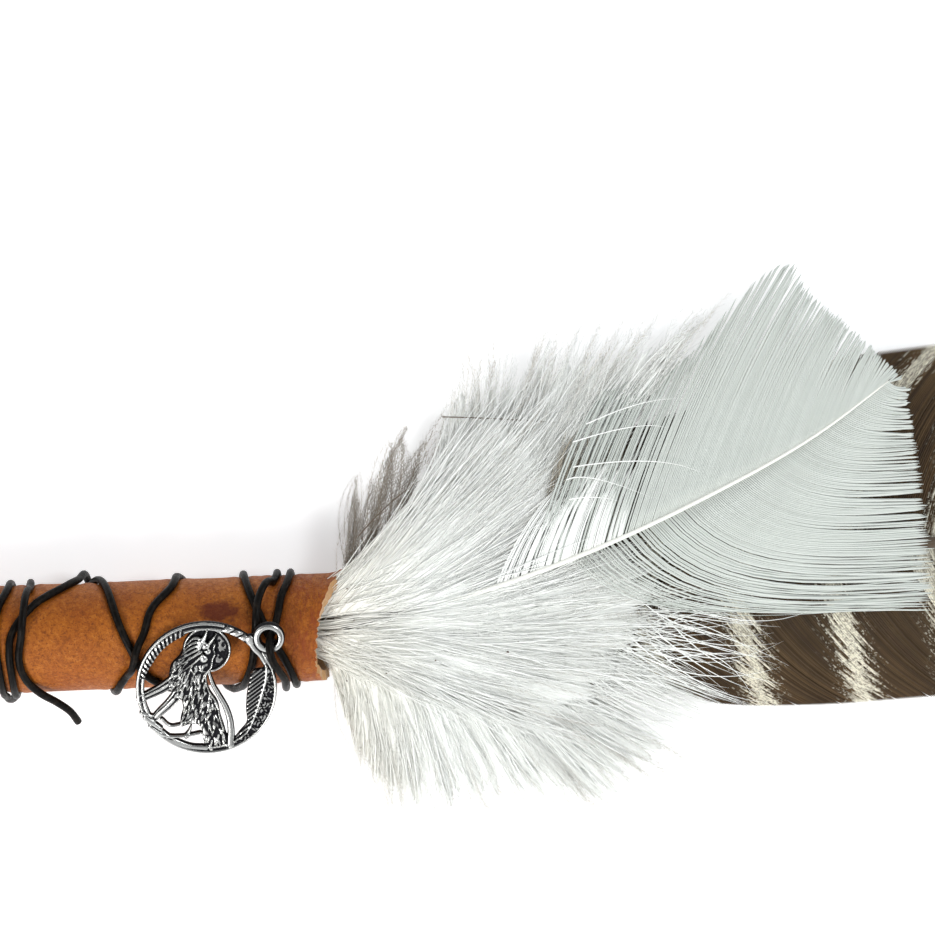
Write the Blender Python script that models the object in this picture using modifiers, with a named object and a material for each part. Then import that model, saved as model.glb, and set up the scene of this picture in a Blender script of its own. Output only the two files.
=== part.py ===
"""A turkey smudge feather, laid down on a surface with its charm side up.

A wooden dowel wrapped in tan leather is the handle. A brown barred feather, a white feather and two white
downy plumes come out of its mouth. A black leather cord binds the handle and lashes a silver charm to it.

While it is modelled, X runs along the handle's axis from butt to feather tip, with 0 at the handle's
mouth, Y runs across it and Z up from the surface. At the end one empty moves all of it so that the origin
is the bottom centre of the whole object.
"""

import math

import bmesh
import bpy
import numpy as np
from mathutils import Matrix, Vector

MM = 0.001
GAP = 0.3 * MM

# Handle
LEATHER_RADIUS = 10.0 * MM
LEATHER_THICKNESS = 1.8 * MM
HANDLE_LENGTH = 79.0 * MM
BUTT_STANDS_PROUD = 1.2 * MM
CORE_RADIUS = LEATHER_RADIUS - LEATHER_THICKNESS - GAP
CORE_STOPS_SHORT = 12.0 * MM
CORE_BUTT_BEVEL = 0.8 * MM
CORE_SIDES = 36
QUILL_BORE_RADIUS = 5.6 * MM
QUILL_BORE_DEPTH = 24.0 * MM
QUILL_BORE_SIDES = 16
SEAM_HALF_GAP = 0.3 * MM

# Cord
CORD_RADIUS = 0.75 * MM
CORD_REACH = LEATHER_RADIUS + GAP + CORD_RADIUS + 0.05 * MM
CORD_STEP_DEGREES = 20.0
CORD_CLIMB_STEP_DEGREES = 10.0
OVER = 1.75  # how far a strand climbs over another, in millimetres
AXIS_HEIGHT = CORD_REACH + CORD_RADIUS + 0.1 * MM

# Charm
CHARM_TILT = math.radians(22.0)
CHARM_CENTRE = (-21.7 * MM, -10.3 * MM)
CHARM_PLANE = LEATHER_RADIUS + 3.2 * MM  # from the handle's axis to the middle of the casting
CHARM_RING_RADIUS = 12.4 * MM
CHARM_RING_WIRE = 0.85 * MM
CHARM_RING_STEPS = 36
WIRE_SIDES = 6
CHARM_THICKNESS = 1.3 * MM
EYE_CENTRE = (12.2 * MM, 9.5 * MM)
EYE_RADIUS = 2.4 * MM
EYE_WIRE = 0.8 * MM
EYE_STEPS = 16
MOON_CENTRE = (0.6 * MM, 7.7 * MM)
MOON_RADIUS = 4.3 * MM
MOON_SIDES = 20
MOON_THICKNESS = 0.78 * MM
MOON_LIES_BACK = 0.2 * MM
SMALL_FEATHER_THICKNESS = 1.04 * MM
BRANCH_RADIUS = 0.45 * MM
BRANCH_STAGGER = 0.02 * MM  # each branch lies this much higher than the last, so that no faces share a plane

# Feathers
BARRED_ROWS = 44  # barbs along each side; every second one is short, which makes half as many locks
FRONT_ROWS = 40
PLUME_ROWS = 30
VANE_COLUMNS = 3
PLUME_COLUMNS = 2
VANE_THICKNESS = 0.8 * MM
DOWN_THICKNESS = 1.2 * MM
DOWN_EDGE_SHARE = 0.3  # how thick the down's tips are, as a share of its thickness at the shaft
SHAFT_STATIONS = 16
THINNEST_SHAFT = 0.25  # millimetres of radius
TUBE_SIDES_STEP = 1  # bevel resolution of a shaft or a branch, which gives six sides
CORD_SIDES_STEP = 2
BARB_BOW = 0.16  # how far a barb bows towards the feather's base, as a share of its length
BARB_DROOP = 1.6  # the power with which a barb falls from the shaft's height to its tip's


# Scene and collections

for stale in list(bpy.data.objects):
    bpy.data.objects.remove(stale, do_unlink=True)

parts = bpy.data.collections.new("turkey_smudge_feather")
helpers = bpy.data.collections.new("helpers")
bpy.context.scene.collection.children.link(parts)
bpy.context.scene.collection.children.link(helpers)

frame = bpy.data.objects.new("object_frame", None)
parts.objects.link(frame)


def add_part(name, data):
    """A visible piece, which hangs on the empty that places the whole object."""
    piece = bpy.data.objects.new(name, data)
    piece.parent = frame
    parts.objects.link(piece)
    return piece


def add_helper(name, data):
    """A cutter, or a shape that a union joins to a piece, which isn't a piece itself."""
    helper = bpy.data.objects.new(name, data)
    helper.parent = frame
    helper.hide_render = True
    helper.display_type = "WIRE"
    helpers.objects.link(helper)
    return helper


def finish(piece, color, roughness, metallic=0.0):
    material = bpy.data.materials.new(piece.name)
    material.use_nodes = True
    shader = material.node_tree.nodes["Principled BSDF"]
    shader.inputs["Base Color"].default_value = (*color, 1.0)
    shader.inputs["Roughness"].default_value = roughness
    shader.inputs["Metallic"].default_value = metallic
    piece.data.materials.append(material)


def boolean(piece, operation, other):
    modifier = piece.modifiers.new(operation.lower() + " " + other.name, "BOOLEAN")
    modifier.operation = operation
    modifier.solver = "EXACT"
    modifier.object = other


def mesh_from(name, build):
    """A mesh that build(bm) fills with Blender's own mesh operators."""
    mesh = bpy.data.meshes.new(name)
    bm = bmesh.new()
    build(bm)
    bm.to_mesh(mesh)
    bm.free()
    return mesh


# Smooth lines through a few points

def smooth(knots, values, at):
    """Values along a smooth curve that takes each given value at its knot."""
    knots = np.array(knots, float)
    values = np.array(values, float)
    slopes = np.gradient(values, knots, axis=0)
    step = np.clip(np.searchsorted(knots, at, side="right") - 1, 0, len(knots) - 2)
    span = (knots[step + 1] - knots[step])[:, None]
    t = (at[:, None] - knots[step][:, None]) / span
    ease = t * t * (3 - 2 * t)
    leave = t * (1 - t) ** 2 * span
    arrive = t * t * (t - 1) * span
    straight = (1 - ease) * values[step] + ease * values[step + 1]
    return straight + leave * slopes[step] + arrive * slopes[step + 1]


def lengths_along(points):
    steps = np.linalg.norm(np.diff(np.array(points, float)[:, :3], axis=0), axis=1)
    return np.concatenate([[0.0], np.cumsum(steps)])


def tube(name, points, radii, sides_step):
    """A wire through points, as a mesh whose end caps are joined to its wall."""
    data = bpy.data.curves.new(name, "CURVE")
    data.dimensions = "3D"
    data.bevel_depth = 1.0
    data.bevel_resolution = sides_step
    data.use_fill_caps = True
    spline = data.splines.new("POLY")
    spline.points.add(len(points) - 1)
    for spot, place, radius in zip(spline.points, points, radii):
        spot.co = (*place, 1.0)
        spot.radius = radius
    wire = bpy.data.objects.new(name, data)
    bpy.context.scene.collection.objects.link(wire)
    graph = bpy.context.evaluated_depsgraph_get()
    mesh = bpy.data.meshes.new_from_object(wire.evaluated_get(graph))
    bpy.data.objects.remove(wire, do_unlink=True)
    bm = bmesh.new()
    bm.from_mesh(mesh)
    bmesh.ops.remove_doubles(bm, verts=bm.verts, dist=1e-6)
    bmesh.ops.recalc_face_normals(bm, faces=bm.faces)
    bm.to_mesh(mesh)
    bm.free()
    mesh.name = name
    return mesh


# The wooden dowel inside the leather, with one bore that holds all the quills

def make_handle_core():
    start = -HANDLE_LENGTH - BUTT_STANDS_PROUD
    length = -CORE_STOPS_SHORT - start

    def turned(radius, depth, sides):
        return lambda bm: bmesh.ops.create_cone(
            bm, cap_ends=True, segments=sides, radius1=radius, radius2=radius, depth=depth
        )

    core = add_part("handle_core", mesh_from("handle_core", turned(CORE_RADIUS, length, CORE_SIDES)))
    core.location = (start + length / 2, 0, AXIS_HEIGHT)
    core.rotation_euler = (0, math.radians(90), 0)
    bevel = core.modifiers.new("worn butt edge", "BEVEL")
    bevel.width = CORE_BUTT_BEVEL
    bevel.segments = 2
    bevel.limit_method = "ANGLE"

    overshoot = 1.0 * MM
    depth = QUILL_BORE_DEPTH + overshoot
    cut = turned(QUILL_BORE_RADIUS, depth, QUILL_BORE_SIDES)
    bore = add_helper("quill_bore", mesh_from("quill_bore", cut))
    bore.location = (-CORE_STOPS_SHORT + overshoot - depth / 2, 0, AXIS_HEIGHT)
    bore.rotation_euler = (0, math.radians(90), 0)
    boolean(core, "DIFFERENCE", bore)
    finish(core, (0.50, 0.34, 0.20), 0.7)


# The leather: a sheet rolled round the dowel, its mouth slanted and a little ragged

# Angle round the handle from its upper side in degrees, and how far the edge reaches in millimetres
MOUTH_EDGE = [
    (-90, 0.3), (-60, 2.0), (-30, 3.8), (0, 4.5), (20, 4.2), (45, 2.0), (70, 0.5),
    (104, -0.5), (136, -0.9), (175, 0.4), (205, 1.2), (240, 0.2), (270, -0.4),
]
LIP_FLARE = 0.5 * MM
LIP_FLARES_AT = 15.0  # degrees round the handle where the lip stands off most
WRAP_ROWS_AROUND = 36
WRAP_ROWS_BEHIND_MOUTH = [HANDLE_LENGTH, 10.0 * MM, 4.0 * MM, 1.2 * MM, 0.0]


def make_leather_wrap():
    around = WRAP_ROWS_AROUND
    along = len(WRAP_ROWS_BEHIND_MOUTH) - 1
    angles = np.array([row[0] for row in MOUTH_EDGE], float)
    reach = np.array([[row[1]] for row in MOUTH_EDGE], float)
    half_gap = math.degrees(SEAM_HALF_GAP / LEATHER_RADIUS)

    def rolled(bm):
        bmesh.ops.create_grid(bm, x_segments=along, y_segments=around, size=0.5)
        for vert in bm.verts:
            row = round((vert.co.x + 0.5) * along)
            share = vert.co.y + 0.5
            angle = -90 + half_gap + share * (360 - 2 * half_gap)
            mouth = float(smooth(angles, reach, np.array([angle]))[0, 0]) * MM
            x = -HANDLE_LENGTH if row == 0 else mouth - WRAP_ROWS_BEHIND_MOUTH[row]
            flare = LIP_FLARE * max(0.0, math.cos(math.radians(angle - LIP_FLARES_AT))) * (row == along)
            radius = LEATHER_RADIUS + flare
            turn = math.radians(angle)
            vert.co = (x, radius * math.cos(turn), AXIS_HEIGHT + radius * math.sin(turn))
        bm.normal_update()
        face = bm.faces[:][0]
        middle = face.calc_center_median()
        if face.normal.dot(middle - Vector((middle.x, 0, AXIS_HEIGHT))) < 0:
            bmesh.ops.reverse_faces(bm, faces=bm.faces[:])

    leather = add_part("leather_wrap", mesh_from("leather_wrap", rolled))
    wall = leather.modifiers.new("leather thickness", "SOLIDIFY")
    wall.thickness = LEATHER_THICKNESS
    wall.offset = -1
    wall.use_even_offset = True
    finish(leather, (0.39, 0.126, 0.022), 0.6)


# The binding cord
# Each turn comes over the front from the upper side (0 degrees) to the lower side (180) and back underneath.
# A place is: position along the handle in millimetres, total angle in degrees, climb over what it crosses.

CORD_TURNS = [
    # the end tucked in at the back, and the way to the middle of the handle
    (-51.0, -135, 0), (-49.6, -110, 0), (-48.0, -90, 0), (-44.5, -40, 0), (-41.8, 0, 0),
    # down over the front, under the later turn that crosses it, and along to the charm
    (-40.3, 26, 0), (-37.6, 79, 0), (-35.3, 109, 0), (-33.2, 135, 0), (-30.2, 155, 0),
    (-26.5, 182, 0), (-22.8, 205, 0), (-19.6, 225, 0), (-17.6, 245, 0), (-16.3, 270, 0), (-14.9, 315, 0),
    (-14.2, 360, 0),
    # the first turn at the charm, which runs under its eye
    (-13.5, 393, 0), (-12.0, 422, 0), (-10.5, 441, 0), (-9.8, 452, 0), (-7.4, 474, 0), (-5.7, 498, 0),
    (-5.1, 517, 0), (-4.9, 560, 0), (-5.0, 630, 0), (-5.2, 700, 0), (-5.8, 754, 0),
    # the second turn, which comes up through the eye and lies over its lower rim
    (-7.0, 775, 0), (-7.8, 797, 0.2), (-8.5, 809, 1.0), (-9.2, 816, 2.6), (-9.4, 822, 3.9),
    (-9.1, 829, 4.3),
    (-8.2, 838, 3.8), (-7.4, 846, 3.0), (-6.9, 854, 2.3), (-6.8, 866, 1.5), (-6.8, 878, 0.8),
    (-6.9, 900, 0),
    (-7.3, 990, 0), (-7.8, 1060, 0),
    # the third turn, over the first one, which starts the way back
    (-8.6, 1113, 0), (-9.8, 1126, OVER), (-11.2, 1142, OVER), (-11.7, 1156, OVER), (-12.0, 1170, 0.5),
    (-12.3, 1184, 0), (-12.7, 1199, 0), (-14.3, 1232, 0), (-15.6, 1260, 0), (-17.5, 1284, 0.9),
    (-18.6, 1297, OVER), (-19.8, 1312, OVER), (-20.9, 1327, 0.4), (-22.3, 1350, 0), (-24.8, 1395, 0),
    # down over the middle again, over the turn that went out
    (-26.8, 1440, 0), (-27.8, 1475, 0), (-31.6, 1504, 0), (-33.2, 1530, 0.1), (-34.5, 1543, OVER),
    (-35.4, 1558, OVER), (-36.4, 1571, 0.2), (-38.0, 1589, 0), (-39.3, 1620, 0), (-42.0, 1710, 0),
    (-43.2, 1740, 1.2), (-43.9, 1757, OVER), (-44.6, 1776, OVER), (-45.3, 1794, 0.3),
    # the left turns
    (-46.6, 1813, 0), (-48.6, 1828, 0), (-50.9, 1839, 0), (-53.1, 1849, 0), (-55.1, 1861, 0),
    (-56.8, 1872, 0),
    (-58.2, 1886, 0), (-58.6, 1903, 0), (-58.4, 1931, 0), (-58.2, 1975, 0), (-58.4, 2070, 0),
    (-58.5, 2160, 0),
    (-58.8, 2186, 0), (-60.6, 2217, 0), (-61.3, 2237, 0), (-61.1, 2256, 0), (-60.7, 2283, 0),
    (-60.1, 2340, 0),
    (-59.8, 2353, 0.6), (-59.1, 2366, 1.5), (-58.5, 2378, OVER), (-57.7, 2392, OVER), (-57.0, 2404, 1.2),
    (-56.4, 2418, 0.2), (-56.0, 2436, 0),
    (-55.2, 2490, 0), (-54.6, 2548, 0), (-55.1, 2566, 1.2), (-55.5, 2583, OVER), (-55.9, 2598, 1.2),
    (-56.4, 2612, 0), (-56.8, 2623, 0), (-56.6, 2642, 0), (-55.4, 2661, 0),
]
CORD_TAIL = [(-53.3, -10.3, 5.1), (-50.4, -12.2, 2.7), (-48.0, -14.2, 0.4), (-46.8, -16.2, -1.9)]


def angles_of_points(turns):
    """The angles at which the cord has its points, closer together where it climbs."""
    angles = [turns[0, 1]]
    while angles[-1] < turns[-1, 1] - CORD_CLIMB_STEP_DEGREES:
        here = int(np.searchsorted(turns[:, 1], angles[-1], side="right"))
        climbs = turns[max(here - 1, 0):here + 1, 2].max() > 0
        angles.append(angles[-1] + (CORD_CLIMB_STEP_DEGREES if climbs else CORD_STEP_DEGREES))
    return np.array(angles)


def make_binding_cord():
    turns = np.array(CORD_TURNS, float)
    steps = angles_of_points(turns)
    along_and_climb = smooth(turns[:, 1], turns[:, [0, 2]], steps)
    turn = np.radians(steps)
    reach = CORD_REACH + np.clip(along_and_climb[:, 1], 0, None) * MM
    wound = np.stack(
        [along_and_climb[:, 0] * MM, reach * np.cos(turn), AXIS_HEIGHT + reach * np.sin(turn)], axis=1
    )
    tail = np.array(CORD_TAIL) * MM + (0, 0, AXIS_HEIGHT)
    route = np.concatenate([wound, tail])
    cord = add_part("binding_cord", tube("binding_cord", route, [CORD_RADIUS] * len(route), CORD_SIDES_STEP))
    finish(cord, (0.012, 0.010, 0.008), 0.35)
    print("cord length in millimetres:", round(lengths_along(route)[-1] / MM))


# The charm, modelled flat round its ring's centre and then tilted onto the handle

WOLF = [
    (0.5, 12.0), (0.4, 9.5), (2.1, 10.9), (1.7, 8.3), (1.8, 5.8), (0.1, 2.8), (0.5, 0.0), (1.7, -2.8),
    (2.6, -5.5), (3.2, -11.8), (-0.5, -12.4), (-1.4, -7.4), (-3.0, -7.2), (-4.7, -7.9), (-4.6, -4.9),
    (-5.1, -2.2), (-6.5, -2.2), (-9.4, -6.4), (-10.2, -5.5), (-8.0, -1.3), (-9.2, -1.0), (-12.4, -2.8),
    (-12.4, -1.9), (-7.5, 1.2), (-6.7, 3.3), (-4.6, 6.2), (-4.6, 10.8), (-3.8, 11.8), (-1.6, 10.6),
]
SMALL_FEATHER = [
    (11.4, 4.6), (9.2, 3.3), (7.6, -2.0), (7.4, -6.3), (5.2, -10.6), (6.4, -11.0), (9.6, -8.4),
    (12.0, -4.6), (12.9, -0.5), (12.6, 3.2),
]
BRANCHES = [
    [(0.4, 2.9), (2.9, -1.2), (4.3, -5.4), (4.5, -11.4)],
    [(-11.9, -4.5), (-8.0, -8.6), (-3.0, -9.8)],
    [(-8.6, -6.2), (-6.8, -7.6), (-4.6, -7.2)],
    [(-7.3, -10.2), (-4.2, -11.2), (-0.6, -11.6)],
]


def flat_outline(name, outline, thickness):
    """A flat shape cut from sheet: a filled outline given a thickness, as a closed mesh."""
    data = bpy.data.curves.new(name, "CURVE")
    data.dimensions = "2D"
    data.fill_mode = "BOTH"
    data.extrude = thickness / 2
    spline = data.splines.new("POLY")
    spline.points.add(len(outline) - 1)
    for spot, (x, y) in zip(spline.points, outline):
        spot.co = (x * MM, y * MM, 0, 1)
    spline.use_cyclic_u = True
    shape = bpy.data.objects.new(name, data)
    bpy.context.scene.collection.objects.link(shape)
    graph = bpy.context.evaluated_depsgraph_get()
    mesh = bpy.data.meshes.new_from_object(shape.evaluated_get(graph))
    bpy.data.objects.remove(shape, do_unlink=True)
    bm = bmesh.new()
    bm.from_mesh(mesh)
    bmesh.ops.remove_doubles(bm, verts=bm.verts, dist=1e-6)
    bmesh.ops.recalc_face_normals(bm, faces=bm.faces)
    bm.to_mesh(mesh)
    bm.free()
    return mesh


def ring(name, radius, wire, around, sides, centre):
    """A wire ring, turned by a Screw on a small circle, in the charm's own plane."""
    mesh = bpy.data.meshes.new(name)
    bm = bmesh.new()
    bmesh.ops.create_circle(bm, cap_ends=False, segments=sides, radius=wire)
    bmesh.ops.rotate(bm, verts=bm.verts, cent=(0, 0, 0), matrix=Matrix.Rotation(math.radians(90), 3, "X"))
    bmesh.ops.translate(bm, verts=bm.verts, vec=(radius, 0, 0))
    bmesh.ops.spin(
        bm, geom=bm.verts[:] + bm.edges[:], cent=(0, 0, 0), axis=(0, 0, 1),
        angle=math.radians(360), steps=around, use_merge=True, use_duplicate=False,
    )
    bmesh.ops.remove_doubles(bm, verts=bm.verts, dist=1e-6)
    bmesh.ops.recalc_face_normals(bm, faces=bm.faces)
    bmesh.ops.translate(bm, verts=bm.verts, vec=(*centre, 0))
    bm.to_mesh(mesh)
    bm.free()
    return mesh


def make_charm():
    outer = ring("charm", CHARM_RING_RADIUS, CHARM_RING_WIRE, CHARM_RING_STEPS, WIRE_SIDES, (0, 0))
    charm = add_part("charm", outer)

    def disc(bm):
        bmesh.ops.create_cone(
            bm, cap_ends=True, segments=MOON_SIDES, radius1=MOON_RADIUS, radius2=MOON_RADIUS,
            depth=MOON_THICKNESS, matrix=Matrix.Translation((*MOON_CENTRE, -MOON_LIES_BACK)),
        )

    shapes = [
        ("charm_eye", ring("charm_eye", EYE_RADIUS, EYE_WIRE, EYE_STEPS, WIRE_SIDES, EYE_CENTRE)),
        ("charm_moon", mesh_from("charm_moon", disc)),
        ("charm_wolf", flat_outline("charm_wolf", WOLF, CHARM_THICKNESS)),
        ("charm_feather", flat_outline("charm_feather", SMALL_FEATHER, SMALL_FEATHER_THICKNESS)),
    ]
    for number, line in enumerate(BRANCHES, 1):
        route = [(x * MM, y * MM, number * BRANCH_STAGGER) for x, y in line]
        name = f"charm_branch_{number}"
        shapes.append((name, tube(name, route, [BRANCH_RADIUS] * len(route), TUBE_SIDES_STEP)))

    height = (CHARM_PLANE + math.sin(CHARM_TILT) * CHARM_CENTRE[1]) / math.cos(CHARM_TILT)
    place = Matrix.Translation((*CHARM_CENTRE, AXIS_HEIGHT + height)) @ Matrix.Rotation(CHARM_TILT, 4, "X")
    charm.matrix_local = place
    for name, mesh in shapes:
        helper = add_helper(name, mesh)
        helper.matrix_local = place
        boolean(charm, "UNION", helper)
    finish(charm, (0.42, 0.42, 0.41), 0.3, 1.0)


# Feathers
# A shaft is (x, y, height, radius) in millimetres. A side is a list of barbs from base to tip, each as
# (how far along the shaft it starts, and the place of its tip), and between them the barbs change smoothly.
# Every second barb is shorter, so the edge splits into locks.

def feather_sheet(bm, shaft, sides, rows, columns, notch):
    """A grid bent so that its rows are barbs: half of them on each side of the shaft."""
    shaft = np.array(shaft, float)
    along = lengths_along(shaft)
    starts = np.linspace(sides[0][0][0], sides[0][-1][0], rows + 1)
    roots = smooth(along, shaft, starts)[:, :3]
    ahead = smooth(along, shaft, starts + 1.0)[:, :3] - roots
    tips = []
    for side in sides:
        side = np.array(side, float)
        tips.append(smooth(side[:, 0], side[:, 1:], starts))
    bmesh.ops.create_grid(bm, x_segments=rows, y_segments=2 * columns, size=0.5)
    layer = bm.verts.layers.deform.verify()
    for vert in bm.verts:
        row = round((vert.co.x + 0.5) * rows)
        column = round((vert.co.y + 0.5) * 2 * columns) - columns
        side = 0 if column > 0 else 1
        out = abs(column) / columns
        root = roots[row]
        barb = tips[side][row] - root
        if row % 2:
            depth = np.interp(starts[row], notch[0], notch[1])
            barb = barb * depth
        across = np.array([-barb[1], barb[0], 0.0])
        if np.dot(across, ahead[row]) > 0:
            across = -across
        place = root + barb * out + across * BARB_BOW * 2 * out * (1 - out)
        place[2] = root[2] + barb[2] * out ** BARB_DROOP
        vert.co = place * MM
        vert[layer][0] = 1.0 - out
    bm.normal_update()


def make_feather(name, shaft, sides, rows, columns, notch, thickness, edge, color):
    """One feather. notch is, for places along the shaft, the share of its length that a short barb keeps."""
    mesh = mesh_from(name, lambda bm: feather_sheet(bm, shaft, sides, rows, columns, notch))
    feather = add_part(name, mesh)
    feather.vertex_groups.new(name="near the shaft")
    skin = feather.modifiers.new("vane thickness", "SOLIDIFY")
    skin.thickness = thickness
    skin.offset = 0
    skin.vertex_group = "near the shaft"
    skin.thickness_vertex_group = edge
    line = np.array(shaft, float)
    along = lengths_along(line)
    stations = np.linspace(0, along[-1], SHAFT_STATIONS)
    spots = smooth(along, line, stations)
    radii = np.clip(spots[:, 3], THINNEST_SHAFT, None) * MM
    stem = tube(name + "_shaft", spots[:, :3] * MM, radii, TUBE_SIDES_STEP)
    boolean(feather, "UNION", add_helper(name + "_shaft", stem))
    finish(feather, color, 0.7)
    return feather


def make_barred_feather():
    shaft = [
        (-32, 0, 9.3, 1.9), (-10, 0, 9.3, 2.0), (8, 0.2, 9.0, 1.9), (30, 1.0, 8.7, 1.7),
        (60, 3.5, 8.3, 1.5),
        (90, 7.4, 7.9, 1.3), (117, 11.3, 7.3, 1.1), (150, 14.6, 6.2, 0.9), (185, 15.4, 4.6, 0.7),
        (226.5, 13.0, 1.9, 0.4),
    ]
    upper = [
        (38, 8, 18, 7.5), (42, 10, 33, 4.5), (48, 17, 36, 4.0), (56, 27, 37, 4.0), (66, 40, 36, 4.5),
        (80, 60, 36, 4.0), (96, 82, 42, 2.5), (112, 100, 47, 1.2), (128, 118, 49.2, 0.9),
        (150, 140, 50, 0.9),
        (175, 165, 48, 0.9), (200, 188, 42.5, 0.9), (222, 207, 34, 0.9), (242, 221, 25, 0.9),
        (258.5, 228.5, 14.2, 0.9),
    ]
    lower = [
        (38, 6, -14, 7.0), (42, 11, -30, 2.5), (48, 20, -34, 1.2), (56, 29, -30, 1.5), (66, 38, -23, 3.0),
        (80, 56, -14, 4.0), (96, 76, -18, 3.0), (112, 94, -19, 1.2), (128, 110, -18.6, 0.9),
        (150, 132, -17.5, 0.9), (175, 157, -15.5, 0.9), (200, 183, -11.5, 0.9), (222, 206, -4.5, 0.9),
        (242, 221, 3.0, 0.9), (258.5, 228.6, 12.0, 0.9),
    ]
    notch = ([38, 66, 84, 260], [0.72, 0.78, 0.975, 0.985])
    make_feather(
        "barred_feather", shaft, (upper, lower), BARRED_ROWS, VANE_COLUMNS, notch, VANE_THICKNESS, 1.0,
        (0.075, 0.048, 0.024),
    )


def make_white_front():
    shaft = [
        (-28, -0.3, 15.4, 1.0), (-8, -0.2, 15.6, 1.0), (5, 0.8, 17.0, 1.0), (13.4, 1.8, 18.6, 0.95),
        (32, 6.0, 20.4, 0.9), (54, 13.3, 20.0, 0.75), (73, 21.3, 18.4, 0.6), (97, 33.6, 15.2, 0.45),
        (109.5, 42.2, 13.2, 0.3),
    ]
    upper = [
        (34, 8, 12, 16.5), (40, 16, 26, 13.5), (50, 28, 36, 12.0), (60, 40, 41, 12.0), (70, 52, 44, 12.0),
        (80, 62, 45, 11.5), (88, 72, 50, 11.0), (93, 84, 61, 10.0), (97, 89.9, 65.5, 9.5),
        (108, 95, 60.6, 10.5),
        (120, 100.5, 55.4, 11.2), (130, 104.8, 51.0, 11.8), (140, 109.0, 46.8, 12.3),
        (146, 112.0, 43.6, 12.6),
    ]
    lower = [
        (34, 8, -8, 16.0), (40, 15, -20, 13.0), (50, 28, -26, 11.8), (60, 42, -26, 11.0),
        (68, 54, -20, 10.8),
        (76, 63, -10, 11.0), (84, 71, 0, 11.5), (92, 84, 0.4, 11.5), (100, 99, 0.2, 11.5),
        (108, 115, -0.2, 11.2),
        (116, 116, 3.5, 11.2), (126, 116, 13, 11.6), (138, 114.6, 28, 12.2), (146, 113.2, 40.0, 12.5),
    ]
    notch = ([34, 74, 92, 150], [0.74, 0.8, 0.97, 0.985])
    make_feather(
        "white_feather_front", shaft, (upper, lower), FRONT_ROWS, VANE_COLUMNS, notch, VANE_THICKNESS, 1.0,
        (0.60, 0.66, 0.60),
    )


def make_white_plumes():
    white = (0.74, 0.78, 0.72)
    upper_shaft = [
        (-26, 3.2, 12.4, 0.8), (-6, 3.2, 12.6, 0.8), (6, 5.0, 13.2, 0.8), (20, 12.0, 13.6, 0.7),
        (36, 22.0, 13.0, 0.55), (52, 31.5, 11.4, 0.4),
    ]
    upper_out = [
        (33, 6.4, 19, 11.2), (37, 10, 31, 8), (42, 15.4, 36.5, 7), (48, 21, 37, 7), (54, 27, 41, 7),
        (60, 31, 46.5, 7), (66, 41, 46.5, 7), (72, 50, 51.5, 7), (78, 59, 51, 7.5), (84, 67, 52, 8),
        (88, 71, 50, 8.5),
    ]
    upper_in = [
        (33, 13, 3, 13.2), (42, 26, 6.5, 12.8), (54, 40, 13, 12.2), (66, 52, 20, 11.4),
        (78, 64, 29.5, 10.2),
        (84, 70.5, 38.5, 9.4), (88, 73, 46, 9.0),
    ]
    lower_shaft = [
        (-26, -3.2, 12.4, 0.8), (-6, -3.2, 12.6, 0.8), (6, -5.0, 12.8, 0.8), (20, -9.4, 12.6, 0.7),
        (36, -13.6, 11.2, 0.55), (54, -17.0, 9.2, 0.4),
    ]
    lower_out = [
        (33, 5, -15.5, 10), (36, 8.5, -25, 7.5), (41, 15, -33.5, 6), (47, 23, -35.5, 5.5),
        (53, 29.5, -36.3, 5),
        (59, 36, -35.4, 4.5), (65, 46, -35.5, 4), (71, 56, -35, 4), (76, 62, -31, 4.5), (81, 69, -26, 5),
        (84, 73, -23.5, 5.5),
    ]
    lower_in = [
        (33, 13, -2.5, 12.8), (41, 25, -3, 12.4), (53, 38, -4.5, 11.6), (65, 51, -7, 10.6),
        (76, 64, -10.5, 8.8),
        (81, 72, -15.5, 7.2), (84, 75.5, -20, 6.0),
    ]
    notch = ([33, 90], [0.76, 0.8])
    for name, shaft, sides in (
        ("white_plume_upper", upper_shaft, (upper_out, upper_in)),
        ("white_plume_lower", lower_shaft, (lower_in, lower_out)),
    ):
        make_feather(
            name, shaft, sides, PLUME_ROWS, PLUME_COLUMNS, notch, DOWN_THICKNESS, DOWN_EDGE_SHARE, white
        )


def stand_on_the_origin():
    """Moves the whole object so that the bottom centre of its box is the origin."""
    bpy.context.view_layer.update()
    graph = bpy.context.evaluated_depsgraph_get()
    corners = []
    for piece in parts.objects:
        if piece.type == "EMPTY":
            continue
        evaluated = piece.evaluated_get(graph)
        mesh = evaluated.to_mesh()
        spots = np.empty(len(mesh.vertices) * 3, np.float32)
        mesh.vertices.foreach_get("co", spots)
        world = np.array(evaluated.matrix_world, float)
        spots = spots.reshape(-1, 3) @ world[:3, :3].T + world[:3, 3]
        corners += [spots.min(axis=0), spots.max(axis=0)]
        evaluated.to_mesh_clear()
    low, high = np.min(corners, axis=0), np.max(corners, axis=0)
    frame.location = (-(low[0] + high[0]) / 2, -(low[1] + high[1]) / 2, -low[2])
    print("frame moved by, in millimetres:", [round(v / MM, 2) for v in frame.location])
    print("size in millimetres:", [round(v / MM, 1) for v in high - low])


make_handle_core()
make_leather_wrap()
make_binding_cord()
make_charm()
make_barred_feather()
make_white_front()
make_white_plumes()
stand_on_the_origin()
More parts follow.
